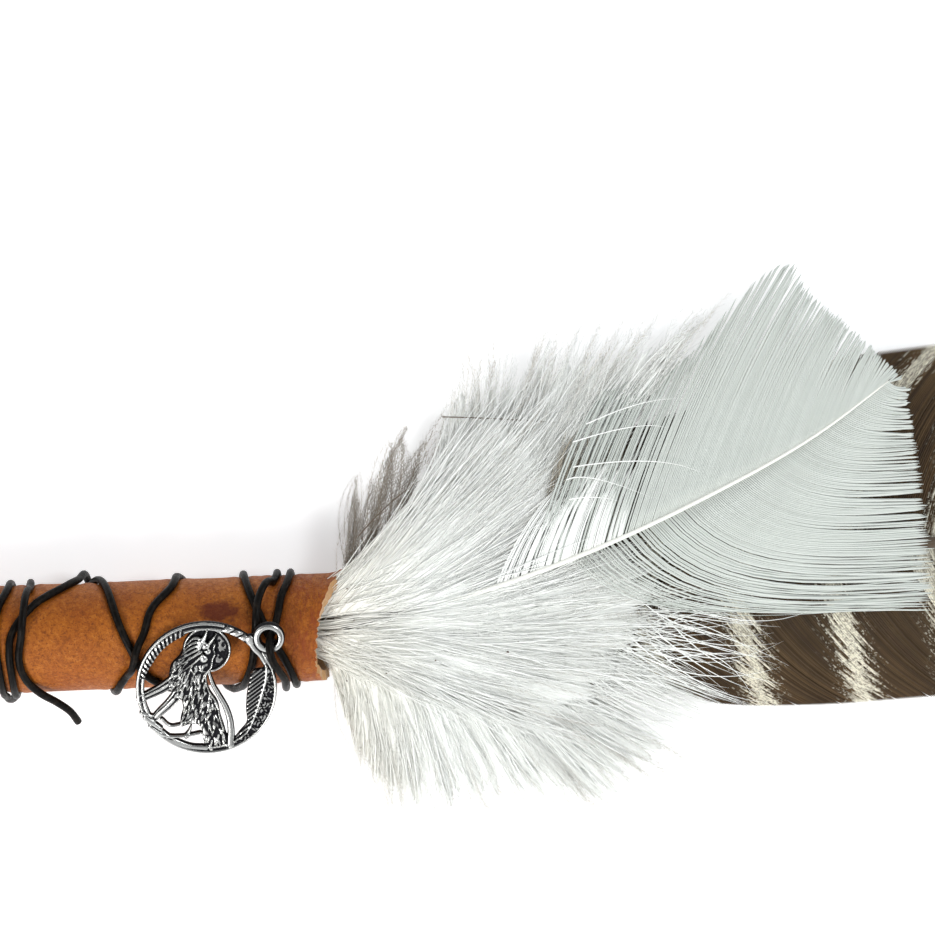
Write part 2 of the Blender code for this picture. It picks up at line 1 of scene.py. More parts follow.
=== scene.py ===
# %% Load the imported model
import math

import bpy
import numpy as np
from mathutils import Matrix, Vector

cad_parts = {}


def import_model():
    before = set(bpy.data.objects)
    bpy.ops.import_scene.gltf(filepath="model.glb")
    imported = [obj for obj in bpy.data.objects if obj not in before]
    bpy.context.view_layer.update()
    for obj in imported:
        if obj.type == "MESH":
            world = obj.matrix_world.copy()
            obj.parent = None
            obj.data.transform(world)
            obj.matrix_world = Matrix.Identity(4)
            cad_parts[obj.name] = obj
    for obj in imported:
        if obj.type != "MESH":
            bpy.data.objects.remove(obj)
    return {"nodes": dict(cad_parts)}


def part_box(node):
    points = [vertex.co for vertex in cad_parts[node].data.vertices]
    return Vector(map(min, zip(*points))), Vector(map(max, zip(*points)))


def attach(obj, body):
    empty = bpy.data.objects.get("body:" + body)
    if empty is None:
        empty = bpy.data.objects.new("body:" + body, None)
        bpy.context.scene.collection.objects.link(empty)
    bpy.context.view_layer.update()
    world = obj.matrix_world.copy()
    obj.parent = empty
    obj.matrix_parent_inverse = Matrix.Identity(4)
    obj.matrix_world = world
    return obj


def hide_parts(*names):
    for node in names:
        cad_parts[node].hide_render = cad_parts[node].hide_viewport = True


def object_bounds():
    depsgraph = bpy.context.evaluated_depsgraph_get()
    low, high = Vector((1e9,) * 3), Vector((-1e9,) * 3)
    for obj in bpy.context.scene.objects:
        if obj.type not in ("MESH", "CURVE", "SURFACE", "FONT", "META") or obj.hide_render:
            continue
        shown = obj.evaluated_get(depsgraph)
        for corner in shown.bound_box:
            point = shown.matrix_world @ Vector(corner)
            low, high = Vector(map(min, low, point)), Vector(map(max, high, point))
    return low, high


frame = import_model()

# %% [markdown]
# # A turkey smudge feather, laid down
# A dowel wrapped in tan leather holds a barred brown feather, a white feather and white down.
# Black cord binds the handle and lashes a cast silver charm to it.
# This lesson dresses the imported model: each cell makes one piece or one finish, and prints what it made.
# Lengths are in millimetres on the object's own axes: X runs from the handle's mouth to the feather's tip,
# Y runs up the picture, and Z up from the table. One function turns such a place into the frame's metres.

MM = 0.001
BUTT_X = -80.2
AXIS_HEIGHT = 11.95

cad_box = [list(corner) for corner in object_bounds()]
core_low, core_high = (np.array(corner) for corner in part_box("handle_core"))
middle = (core_low + core_high) / 2
ZERO = np.array([core_low[0] - BUTT_X * MM, middle[1], middle[2] - AXIS_HEIGHT * MM])


def world(places):
    """Places in millimetres on the object's own axes, as metres in the frame."""
    return ZERO + np.asarray(places, float) * MM


BOX_LOW, BOX_HIGH = (np.array(cad_box) - ZERO) / MM
print("the handle's mouth is at", np.round(world([0, 0, AXIS_HEIGHT]), 4))

# %% [markdown]
# ## Camera
# The photo looks straight down on the object, turned by about two degrees.
# A long lens from far off keeps the flat view of such a picture. The frame is 178 mm wide, so the handle's
# butt and the brown feather's tip lie outside it.

# %% Camera
PHOTO_CENTRE = (29.2, 29.2)
PHOTO_WIDTH = 177.65
PHOTO_TURN = math.radians(-2.3)
FOCUS_HEIGHT = 13.0
CAMERA_DISTANCE = 1300.0
SENSOR = 36.0

camera_data = bpy.data.cameras.new("camera")
camera_data.sensor_width = SENSOR
camera_data.lens = SENSOR * CAMERA_DISTANCE / PHOTO_WIDTH
camera_data.clip_end = 20.0
camera = bpy.data.objects.new("camera", camera_data)
camera.location = world([*PHOTO_CENTRE, FOCUS_HEIGHT + CAMERA_DISTANCE])
camera.rotation_euler = (0, 0, PHOTO_TURN)
bpy.context.scene.collection.objects.link(camera)
bpy.context.scene.camera = camera
print("lens in millimetres:", round(camera_data.lens))

# %% [markdown]
# ## Shader nodes in few words
# These helpers make a node with its settings and plug other nodes into it, so each finish below reads as
# a short recipe.

# %% Helpers for finishes


def only(piece):
    """Selects this piece and nothing else."""
    bpy.ops.object.select_all(action="DESELECT")
    piece.select_set(True)
    bpy.context.view_layer.objects.active = piece


def node(tree, kind, inputs=None, **settings):
    """A shader node with its settings, and its inputs as values or as other nodes' outputs."""
    made = tree.nodes.new("ShaderNode" + kind)
    for key, value in settings.items():
        setattr(made, key, value)
    for key, value in (inputs or {}).items():
        if isinstance(value, bpy.types.NodeSocket):
            tree.links.new(value, made.inputs[key])
        else:
            made.inputs[key].default_value = value
    return made


def plain_finish(name, roughness, metallic=0.0, specular=0.5, sheen=0.0):
    material = bpy.data.materials.new(name)
    material.use_nodes = True
    shader = material.node_tree.nodes["Principled BSDF"]
    shader.inputs["Roughness"].default_value = roughness
    shader.inputs["Metallic"].default_value = metallic
    shader.inputs["Specular IOR Level"].default_value = specular
    shader.inputs["Sheen Weight"].default_value = sheen
    return material, material.node_tree, shader


# %% Mixing colours and numbers


def mixed(tree, factor, first, second, mode="MIX"):
    """Two colours mixed by a factor."""
    mix = node(tree, "Mix", data_type="RGBA", blend_type=mode)
    for index, value in ((0, factor), (6, first), (7, second)):
        if isinstance(value, bpy.types.NodeSocket):
            tree.links.new(value, mix.inputs[index])
        else:
            mix.inputs[index].default_value = (*value, 1.0) if isinstance(value, tuple) else value
    return mix.outputs[2]


def ramp(tree, value, low, high, to_low=0.0, to_high=1.0):
    """A value between low and high, spread from to_low to to_high and held there beyond them."""
    return node(
        tree, "MapRange",
        {"Value": value, "From Min": low, "From Max": high, "To Min": to_low, "To Max": to_high},
    ).outputs["Result"]


def maths(tree, operation, first, second=0.0):
    made = node(tree, "Math", operation=operation)
    for index, value in enumerate((first, second)):
        if isinstance(value, bpy.types.NodeSocket):
            tree.links.new(value, made.inputs[index])
        else:
            made.inputs[index].default_value = value
    return made.outputs[0]


# %% Patterns and bumps


def object_places(tree, stretch=(1, 1, 1)):
    """Places on the piece, drawn out or squeezed along the axes."""
    places = node(tree, "TexCoord").outputs["Object"]
    return node(tree, "Mapping", {"Vector": places, "Scale": stretch}).outputs["Vector"]


def noise(tree, places, scale, detail=3.0, roughness=0.55):
    return node(
        tree, "TexNoise", {"Vector": places, "Scale": scale, "Detail": detail, "Roughness": roughness}
    ).outputs["Fac"]


def bump(tree, shader, height, depth, strength=1.0):
    """Fine relief too small to model, depth in millimetres."""
    made = node(tree, "Bump", {"Height": height, "Distance": depth * MM, "Strength": strength})
    tree.links.new(made.outputs["Normal"], shader.inputs["Normal"])


# %% [markdown]
# ## Floor and light
# The floor is a pale light panel, as for pictures on pure white: its own glow keeps shadows faint and lights
# the down a little from below. A large soft lamp stands below the picture, which brightens the handle's
# near side and leaves its far edge darker, as on the real one.
# The room is darker overhead and beyond the top of the picture than at its other walls, as it is where
# somebody leans over a table with a camera.
# It makes little difference to feathers, but the silver mirrors it and gets its dark and bright patches.

# %% Floor and light
FLOOR_SIZE = 4.0
FLOOR_GLOW = 0.38
FLOOR_DROP = 0.0002
ROOM_STRENGTH = 1.5
ROOM_WALLS = (0.95, 0.97, 1.0)
ROOM_OVERHEAD = (0.04, 0.04, 0.045)

bpy.ops.object.select_all(action="DESELECT")
bpy.ops.mesh.primitive_plane_add(size=FLOOR_SIZE, location=(0, 0, -FLOOR_DROP))
floor = bpy.context.object
floor.name = "floor"
floor_paint, _, floor_shader = plain_finish("pale_floor", 0.9, specular=0.1)
floor_shader.inputs["Base Color"].default_value = (0.9, 0.9, 0.9, 1)
floor_shader.inputs["Emission Color"].default_value = (1, 1, 1, 1)
floor_shader.inputs["Emission Strength"].default_value = FLOOR_GLOW
floor.data.materials.append(floor_paint)

room = bpy.data.worlds.new("soft_room")
room.use_nodes = True
room_tree = room.node_tree
background = room_tree.nodes["Background"]
toward = node(room_tree, "TexCoord").outputs["Generated"]
_, across, up = node(room_tree, "SeparateXYZ", {0: toward}).outputs
overhead = ramp(room_tree, up, 0.40, 0.62)
patches = ramp(room_tree, noise(room_tree, toward, 3.4, 1.0), 0.44, 0.56)
patchy = maths(room_tree, "ADD", 0.55, maths(room_tree, "MULTIPLY", patches, 0.4))
dark = maths(room_tree, "MULTIPLY", overhead, patchy)
dark = maths(room_tree, "MAXIMUM", dark, ramp(room_tree, across, 0.1, 0.9, 0.0, 0.6))
room_tree.links.new(mixed(room_tree, dark, ROOM_WALLS, ROOM_OVERHEAD), background.inputs["Color"])
background.inputs["Strength"].default_value = ROOM_STRENGTH
bpy.context.scene.world = room
bpy.context.scene.view_settings.view_transform = "Standard"


def lamp(name, place, size, watts, color):
    data = bpy.data.lights.new(name, "AREA")
    data.size = size
    data.energy = watts
    data.color = color
    light = bpy.data.objects.new(name, data)
    light.location = place
    light.rotation_euler = (-Vector(place)).to_track_quat("-Z", "Y").to_euler()
    bpy.context.scene.collection.objects.link(light)


lamp("large_lamp", (-0.50, -0.50, 0.62), 0.35, 5.4, (1.0, 0.99, 0.97))
lamp("small_lamp", (0.40, 0.10, 0.85), 0.25, 3.0, (0.95, 0.98, 1.0))

# %% [markdown]
# ## Smooth lines and straight shapes
# Shafts, barbs and cords all follow smooth lines through a few places.
# A barb is modelled once, straight and one unit long, and is then bent along its own line as often as
# needed, so each of the hundreds of barbs costs only a few dozen faces.

# %% Smooth lines


def smooth(knots, values, at):
    """Values along a smooth curve that takes each given value at its knot."""
    knots = np.array(knots, float)
    values = np.array(values, float)
    at = np.atleast_1d(np.asarray(at, float))
    slopes = np.gradient(values, knots, axis=0)
    step = np.clip(np.searchsorted(knots, at, side="right") - 1, 0, len(knots) - 2)
    span = (knots[step + 1] - knots[step])[:, None]
    t = (at[:, None] - knots[step][:, None]) / span
    ease = t * t * (3 - 2 * t)
    leave = t * (1 - t) ** 2 * span
    arrive = t * t * (t - 1) * span
    straight = (1 - ease) * values[step] + ease * values[step + 1]
    return straight + leave * slopes[step] + arrive * slopes[step + 1]


def lengths_along(points, axes=3):
    steps = np.linalg.norm(np.diff(np.array(points, float)[:, :axes], axis=0), axis=1)
    return np.concatenate([[0.0], np.cumsum(steps)])


def unit(vectors):
    return vectors / np.maximum(np.linalg.norm(vectors, axis=-1, keepdims=True), 1e-9)


# %% A piece from arrays


def piece_from(name, places, triangles, finish, attributes=None, soft=True):
    """A mesh piece from places in millimetres and triangles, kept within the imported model's box."""
    places = np.clip(places, BOX_LOW + 0.02, BOX_HIGH - 0.02)
    mesh = bpy.data.meshes.new(name)
    mesh.vertices.add(len(places))
    mesh.vertices.foreach_set("co", world(places).astype(np.float32).ravel())
    mesh.loops.add(triangles.size)
    mesh.loops.foreach_set("vertex_index", triangles.astype(np.int32).ravel())
    mesh.polygons.add(len(triangles))
    mesh.polygons.foreach_set("loop_start", np.arange(0, triangles.size, 3, dtype=np.int32))
    mesh.update(calc_edges=True)
    mesh.validate()
    for key, values in (attributes or {}).items():
        mesh.attributes.new(key, "FLOAT_VECTOR", "POINT").data.foreach_set(
            "vector", np.asarray(values, np.float32).ravel()
        )
    if soft:
        mesh.shade_smooth()
    mesh.materials.append(finish)
    piece = bpy.data.objects.new(name, mesh)
    bpy.context.scene.collection.objects.link(piece)
    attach(piece, "root")
    print(name, "has", len(triangles), "triangles")
    return piece


def places_of(piece):
    """A piece's vertex places as an array."""
    places = np.empty(len(piece.data.vertices) * 3, np.float32)
    piece.data.vertices.foreach_get("co", places)
    return places.reshape(-1, 3).astype(float)


def put_places(piece, places):
    piece.data.vertices.foreach_set("co", np.asarray(places, np.float32).ravel())
    piece.data.update()


def take_shape(piece):
    """A modelled shape as places and triangles; the object itself is cleared away."""
    only(piece)
    bpy.ops.object.transform_apply(location=True, rotation=True, scale=True)
    bpy.ops.object.mode_set(mode="EDIT")
    bpy.ops.mesh.select_all(action="SELECT")
    bpy.ops.mesh.quads_convert_to_tris()
    bpy.ops.object.mode_set(mode="OBJECT")
    places = places_of(piece)
    triangles = np.array([face.vertices[:] for face in piece.data.polygons], int)
    bpy.data.objects.remove(piece, do_unlink=True)
    return places, triangles


# %% [markdown]
# A straight stem starts as a slim cylinder along X. Its long edges are subdivided, which cuts it into short
# stretches that can bend, and a width for each place along it makes it taper.

# %% Straight stems


def straight_stem(sides, *cuts):
    """A unit cylinder along X. Each number of cuts divides every stretch again."""
    bpy.ops.object.select_all(action="DESELECT")
    bpy.ops.mesh.primitive_cylinder_add(
        vertices=sides, radius=0.5, depth=1.0, location=(0.5, 0, 0), rotation=(0, math.radians(90), 0)
    )
    stem = bpy.context.object
    bpy.ops.object.transform_apply(location=True, rotation=True, scale=True)
    for count in cuts:
        bpy.ops.object.mode_set(mode="EDIT")
        bpy.ops.mesh.select_mode(type="EDGE")
        bpy.ops.mesh.select_all(action="DESELECT")
        bpy.ops.object.mode_set(mode="OBJECT")
        along = places_of(stem)[:, 0]
        for edge in stem.data.edges:
            first, second = edge.vertices
            edge.select = abs(along[first] - along[second]) > 1e-4
        bpy.ops.object.mode_set(mode="EDIT")
        bpy.ops.mesh.subdivide(number_cuts=count)
        bpy.ops.object.mode_set(mode="OBJECT")
    return take_shape(stem)


def tapered(shape, widths):
    """The straight shape with its width scaled by (place along it, width) pairs."""
    places, triangles = shape
    along, wide = np.array(widths, float).T
    places = places.copy()
    places[:, 1:] *= np.interp(places[:, 0], along, wide)[:, None]
    return places, triangles


VANE_BARB = tapered(straight_stem(4, 11), [(0, 1), (0.85, 1), (0.92, 0.9), (1, 0.15)])
VANE_BARB[0][:, 0] = np.interp(VANE_BARB[0][:, 0], (0, 0.833, 0.917, 1), (0, 0.87, 0.965, 1))
SOFT_BARB = tapered(straight_stem(3, 4), [(0, 0.3), (0.2, 1), (0.5, 1), (0.8, 0.6), (1, 0.05)])
LOOSE_BARB = tapered(straight_stem(4, 11), [(0, 1), (0.5, 0.75), (1, 0.08)])
FINE_STEM = tapered(straight_stem(3, 6), [(0, 1), (0.6, 0.6), (1, 0.15)])
for label, shape in (("vane barb", VANE_BARB), ("soft barb", SOFT_BARB), ("fine stem", FINE_STEM)):
    print(label, "has", len(shape[1]), "triangles")

# %% Bending copies along lines


def bend_copies(shape, lines, wide, thick, roll=0.0):
    """One copy of a straight shape along each cubic line. wide has a number for the root and the tip."""
    places, triangles = shape
    t = places[:, 0]
    weights = np.stack([(1 - t) ** 3, 3 * t * (1 - t) ** 2, 3 * t * t * (1 - t), t ** 3], axis=1)
    slopes = np.stack(
        [-3 * (1 - t) ** 2, 3 * (1 - t) * (1 - 3 * t), 3 * t * (2 - 3 * t), 3 * t * t], axis=1
    )
    spots = np.einsum("mk,nkd->nmd", weights, lines)
    ahead = unit(np.einsum("mk,nkd->nmd", slopes, lines))
    side = unit(np.cross(np.array([0.0, 0.0, 1.0]), ahead))
    lift = np.cross(ahead, side)
    count = len(lines)
    wide = np.broadcast_to(np.asarray(wide, float), (count, 2))
    width = (1 - t)[None] * wide[:, :1] + t[None] * wide[:, 1:]
    thickness = np.broadcast_to(np.asarray(thick, float).reshape(-1, 1), (count, 1))
    roll = np.broadcast_to(np.asarray(roll, float).reshape(-1, 1), (count, 1))
    y = places[None, :, 1] * width
    z = places[None, :, 2] * thickness
    across = y * np.cos(roll) - z * np.sin(roll)
    over = y * np.sin(roll) + z * np.cos(roll)
    bent = spots + side * across[..., None] + lift * over[..., None]
    faces = triangles[None] + (np.arange(count) * len(places))[:, None, None]
    return bent.reshape(-1, 3), faces.reshape(-1, 3)


# %% Joining and cutting lines


def join(parts):
    """Several (places, triangles) as one."""
    offset, places, triangles = 0, [], []
    for some_places, some_triangles in parts:
        places.append(some_places)
        triangles.append(some_triangles + offset)
        offset += len(some_places)
    return np.concatenate(places), np.concatenate(triangles)


def lines_between(roots, tips, leave, arrive):
    """Cubic lines from roots to tips that start along leave and end along arrive, all in millimetres."""
    return np.stack([roots, roots + leave / 3, tips - arrive / 3, tips], axis=1)


def cut_lines(lines, begin, end):
    """The stretch of each cubic line between two shares of its way."""
    spots, slopes = [], []
    for t in (begin[:, None], end[:, None]):
        spots.append(
            (1 - t) ** 3 * lines[:, 0] + 3 * t * (1 - t) ** 2 * lines[:, 1]
            + 3 * t * t * (1 - t) * lines[:, 2] + t ** 3 * lines[:, 3]
        )
        steps = np.diff(lines, axis=1)
        slopes.append(3 * ((1 - t) ** 2 * steps[:, 0] + 2 * t * (1 - t) * steps[:, 1] + t * t * steps[:, 2]))
    long = (end - begin)[:, None]
    return lines_between(spots[0], spots[1], slopes[0] * long, slopes[1] * long)


def along_route(shape, route, radii, upwards=(0.0, 0.0, 1.0)):
    """A straight stem bent along a route with many places, and the step of each vertex along it."""
    places, triangles = shape
    step = np.rint(places[:, 0] * (len(route) - 1)).astype(int)
    ahead = unit(np.gradient(route, axis=0))
    side = unit(np.cross(np.asarray(upwards, float), ahead))
    lift = np.cross(ahead, side)
    radius = 2 * np.asarray(radii, float)[step, None]
    bent = route[step] + side[step] * places[:, 1:2] * radius + lift[step] * places[:, 2:3] * radius
    return bent, triangles, step


# %% [markdown]
# ## The dowel
# The turned dowel shows only its butt and the bottom of its bore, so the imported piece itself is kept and
# gets a finish: pale wood with growth lines along the handle.

# %% The dowel's wood


def wood_finish():
    material, tree, shader = plain_finish("dowel_wood", 0.65, specular=0.35)
    rings = node(
        tree, "TexWave",
        {"Vector": object_places(tree, (0.08, 1, 1)), "Scale": 240.0, "Distortion": 3.0, "Detail": 2.0},
        wave_type="RINGS", rings_direction="X",
    ).outputs["Fac"]
    fibres = noise(tree, object_places(tree, (0.1, 1, 1)), 1800.0, 2.0)
    color = mixed(tree, rings, (0.52, 0.36, 0.20), (0.40, 0.25, 0.13))
    color = mixed(tree, maths(tree, "MULTIPLY", fibres, 0.35), color, (0.28, 0.17, 0.08))
    tree.links.new(color, shader.inputs["Base Color"])
    bump(tree, shader, fibres, 0.05)
    return material


dowel = frame["nodes"]["handle_core"]
dowel.data.materials.clear()
dowel.data.materials.append(wood_finish())

# %% [markdown]
# ## The cord's route
# One black cord binds the handle. Each turn comes over the front from the upper side (0 degrees) to the
# lower side (180) and back underneath. A place is: position along the handle in millimetres, total angle in
# degrees, and the climb over what it crosses. The route is laid down before the leather, because the
# leather has a shallow dent wherever the cord presses on it.

# %% The cord's route
OVER = 1.75
CORD_RADIUS = 0.75
CORD_REACH = 11.1
CORD_SINKS = 0.42
CORD_TURNS = [
    (-51.0, -135, 0), (-49.6, -110, 0), (-48.0, -90, 0), (-44.5, -40, 0), (-41.8, 0, 0),
    (-40.3, 26, 0), (-37.6, 79, 0), (-35.3, 109, 0), (-33.2, 135, 0), (-30.2, 155, 0),
    (-26.5, 182, 0), (-22.8, 205, 0), (-19.6, 225, 0), (-17.6, 245, 0), (-16.3, 270, 0), (-14.9, 315, 0),
    (-14.2, 360, 0),
    (-13.5, 393, 0), (-12.0, 422, 0), (-10.5, 441, 0), (-9.8, 452, 0), (-7.4, 474, 0), (-5.7, 498, 0),
    (-5.1, 517, 0), (-4.9, 560, 0), (-5.0, 630, 0), (-5.2, 700, 0), (-5.8, 754, 0),
    (-7.0, 775, 0), (-7.8, 797, 0.2), (-8.5, 809, 1.0), (-9.2, 816, 2.6), (-9.4, 822, 3.9),
    (-9.1, 829, 4.3),
    (-8.2, 838, 3.8), (-7.4, 846, 3.0), (-6.9, 854, 2.3), (-6.8, 866, 1.5), (-6.8, 878, 0.8),
    (-6.9, 900, 0),
    (-7.3, 990, 0), (-7.8, 1060, 0),
    (-8.6, 1113, 0), (-9.8, 1126, OVER), (-11.2, 1142, OVER), (-11.7, 1156, OVER), (-12.0, 1170, 0.5),
    (-12.3, 1184, 0), (-12.7, 1199, 0), (-14.3, 1232, 0), (-15.6, 1260, 0), (-17.5, 1284, 0.9),
    (-18.6, 1297, OVER), (-19.8, 1312, OVER), (-20.9, 1327, 0.4), (-22.3, 1350, 0), (-24.8, 1395, 0),
    (-26.8, 1440, 0), (-27.8, 1475, 0), (-31.6, 1504, 0), (-33.2, 1530, 0.1), (-34.5, 1543, OVER),
    (-35.4, 1558, OVER), (-36.4, 1571, 0.2), (-38.0, 1589, 0), (-39.3, 1620, 0), (-42.0, 1710, 0),
    (-43.2, 1740, 1.2), (-43.9, 1757, OVER), (-44.6, 1776, OVER), (-45.3, 1794, 0.3),
    (-46.6, 1813, 0), (-48.6, 1828, 0), (-50.9, 1839, 0), (-53.1, 1849, 0), (-55.1, 1861, 0),
    (-56.8, 1872, 0),
    (-58.2, 1886, 0), (-58.6, 1903, 0), (-58.4, 1931, 0), (-58.2, 1975, 0), (-58.4, 2070, 0),
    (-58.5, 2160, 0),
    (-58.8, 2186, 0), (-60.6, 2217, 0), (-61.3, 2237, 0), (-61.1, 2256, 0), (-60.7, 2283, 0),
    (-60.1, 2340, 0),
    (-59.8, 2353, 0.6), (-59.1, 2366, 1.5), (-58.5, 2378, OVER), (-57.7, 2392, OVER), (-57.0, 2404, 1.2),
    (-56.4, 2418, 0.2), (-56.0, 2436, 0),
    (-55.2, 2490, 0), (-54.6, 2548, 0), (-55.1, 2566, 1.2), (-55.5, 2583, OVER), (-55.9, 2598, 1.2),
    (-56.4, 2612, 0), (-56.8, 2623, 0), (-56.6, 2642, 0), (-55.4, 2661, 0),
]
CORD_TAIL = [(-53.3, -10.3, 5.1), (-50.4, -12.2, 2.7), (-48.0, -14.2, 0.4), (-46.8, -16.2, -1.9)]
CORD_CUTS = (21, 23)

turns = np.array(CORD_TURNS, float)
turn_steps = np.arange(turns[0, 1], turns[-1, 1], 4.0)
along_and_climb = smooth(turns[:, 1], turns[:, [0, 2]], turn_steps)
cord_climb = np.clip(along_and_climb[:, 1], 0, None)
reach = CORD_REACH + cord_climb - CORD_SINKS * np.clip(1 - cord_climb / 0.5, 0, 1)
angle = np.radians(turn_steps)
wound = np.stack([along_and_climb[:, 0], reach * np.cos(angle), AXIS_HEIGHT + reach * np.sin(angle)], axis=1)
rough_route = np.concatenate([wound, np.array(CORD_TAIL) + (0, 0, AXIS_HEIGHT)])
rough_lengths = lengths_along(rough_route)
stations = np.linspace(0, rough_lengths[-1], (CORD_CUTS[0] + 1) * (CORD_CUTS[1] + 1) + 1)
cord_route = smooth(rough_lengths, rough_route, stations)
print("cord length in millimetres:", round(rough_lengths[-1]))

# %% [markdown]
# ## The leather
# One sheet is rolled round the dowel. Its mouth is cut by hand, so the edge is a little ragged, and its lip
# curls away from the feathers. It starts as a flat grid, which is rolled up, dented under the cord and given
# its thickness by Solidify, with the suede side and the cut edges as a second finish.

# %% Leather finishes
STAIN_PLACE = (-18.7, 3.8, 20.6)
STAIN_SIZE = (4.2, 2.2, 3.0)


def grain_finish():
    material, tree, shader = plain_finish("tan_grain", 0.52, specular=0.20)
    places = object_places(tree)
    clouds = noise(tree, places, 90.0, 4.0, 0.6)
    mottle = noise(tree, places, 1100.0, 4.0, 0.75)
    pores = noise(tree, places, 3200.0, 2.0, 0.6)
    wrinkles = noise(tree, object_places(tree, (2.6, 0.8, 0.8)), 420.0, 4.0, 0.7)
    mouth = world([0, 0, 0])[0]
    along = node(tree, "SeparateXYZ", {0: places}).outputs[0]
    near_mouth = ramp(tree, along, mouth - 9 * MM, mouth - 3 * MM)
    color = mixed(tree, ramp(tree, clouds, 0.35, 0.65), (0.37, 0.108, 0.009), (0.27, 0.067, 0.006))
    color = mixed(tree, ramp(tree, mottle, 0.50, 0.62, 0.0, 0.65), color, (0.165, 0.042, 0.005))
    color = mixed(tree, ramp(tree, mottle, 0.46, 0.36, 0.0, 0.40), color, (0.50, 0.18, 0.025))
    color = mixed(tree, ramp(tree, pores, 0.56, 0.66, 0.0, 0.7), color, (0.11, 0.028, 0.005))
    redder = maths(tree, "MULTIPLY", near_mouth, ramp(tree, wrinkles, 0.46, 0.62, 0.10, 0.90))
    color = mixed(tree, redder, color, (0.22, 0.045, 0.008))
    size = np.array(STAIN_SIZE) * MM
    stain = tuple(world(STAIN_PLACE))
    offset = node(tree, "VectorMath", {0: places, 1: stain}, operation="SUBTRACT").outputs[0]
    offset = node(tree, "VectorMath", {0: offset, 1: tuple(1 / size)}, operation="MULTIPLY").outputs[0]
    away = node(tree, "VectorMath", {0: offset}, operation="LENGTH").outputs["Value"]
    ragged = maths(tree, "ADD", away, maths(tree, "MULTIPLY", noise(tree, places, 700.0, 3.0), 1.3))
    color = mixed(tree, ramp(tree, ragged, 1.75, 1.30, 0.0, 0.80), color, (0.10, 0.012, 0.004))
    tree.links.new(color, shader.inputs["Base Color"])
    tree.links.new(ramp(tree, mottle, 0.3, 0.7, 0.45, 0.62), shader.inputs["Roughness"])
    relief = maths(tree, "ADD", maths(tree, "MULTIPLY", mottle, 0.7), maths(tree, "MULTIPLY", pores, 0.3))
    deep = maths(tree, "MULTIPLY", near_mouth, maths(tree, "MULTIPLY", wrinkles, 2.2))
    bump(tree, shader, maths(tree, "ADD", relief, deep), 0.30, 1.0)
    return material


def suede_finish():
    material, tree, shader = plain_finish("tan_suede", 0.9, specular=0.15, sheen=0.3)
    fuzz = noise(tree, object_places(tree), 2200.0, 3.0, 0.7)
    tree.links.new(mixed(tree, fuzz, (0.62, 0.37, 0.17), (0.44, 0.22, 0.08)), shader.inputs["Base Color"])
    bump(tree, shader, fuzz, 0.2)
    return material


# %% Rolling the leather
LEATHER_RADIUS = 10.2
LEATHER_THICKNESS = 1.9
HANDLE_LENGTH = 79.0
SEAM_HALF_GAP = 0.3
MOUTH_EDGE = [
    (-90, 0.3), (-60, 2.0), (-30, 3.8), (0, 4.5), (20, 4.2), (45, 2.0), (70, 0.5),
    (104, -0.5), (136, -0.9), (175, 0.4), (205, 1.2), (240, 0.2), (270, -0.4),
]
LIP_FLARE = 0.7
LIP_FLARES_AT = 15.0
CELLS_ALONG, CELLS_AROUND = 190, 120
DENT = 0.34

bpy.ops.object.select_all(action="DESELECT")
bpy.ops.mesh.primitive_grid_add(x_subdivisions=CELLS_ALONG, y_subdivisions=CELLS_AROUND, size=1.0)
leather = bpy.context.object
leather.name = "tan_leather"
flat = places_of(leather)
share, wrap = flat[:, 0] + 0.5, flat[:, 1] + 0.5
seam_angle = math.degrees(SEAM_HALF_GAP / LEATHER_RADIUS)
leather_angle = -90 + seam_angle + wrap * (360 - 2 * seam_angle)
edge = np.array(MOUTH_EDGE, float)
mouth_x = smooth(edge[:, 0], edge[:, 1:], leather_angle)[:, 0]
rng = np.random.default_rng(3)
nicks = rng.normal(0, 0.16, CELLS_AROUND + 1)
mouth_x += nicks[np.rint(wrap * CELLS_AROUND).astype(int)]
leather_x = -HANDLE_LENGTH + share ** 0.92 * (mouth_x + HANDLE_LENGTH)
behind = mouth_x - leather_x
flare = np.maximum(0, np.cos(np.radians(leather_angle - LIP_FLARES_AT))) ** 2
flare *= np.clip(1 - behind / 3.0, 0, 1) ** 2
radius = LEATHER_RADIUS + LIP_FLARE * flare

# %% Creases, and dents under the cord
waves = np.zeros(len(flat))
for wave in range(9):
    pitch, twist, phase = rng.uniform(0.08, 0.5), rng.integers(0, 5), rng.uniform(0, 6.28)
    waves += np.sin(leather_x * pitch + np.radians(leather_angle) * twist + phase) / 9
radius += 0.16 * waves
surface = np.stack([leather_x, np.radians(leather_angle) * LEATHER_RADIUS], axis=1)
around = (turn_steps + 90) % 360 - 90
strand = np.stack([along_and_climb[:, 0], np.radians(around) * LEATHER_RADIUS], axis=1)[cord_climb < 0.4]
for first in range(0, len(surface), 2000):
    apart = np.linalg.norm(surface[first:first + 2000, None] - strand[None], axis=2).min(axis=1)
    pressed = DENT * np.exp(-(apart / 0.8) ** 2) - 0.3 * DENT * np.exp(-((apart - 1.9) / 0.8) ** 2)
    radius[first:first + 2000] -= pressed
turn = np.radians(leather_angle)
rolled = np.stack([leather_x, radius * np.cos(turn), AXIS_HEIGHT + radius * np.sin(turn)], axis=1)
put_places(leather, world(rolled))

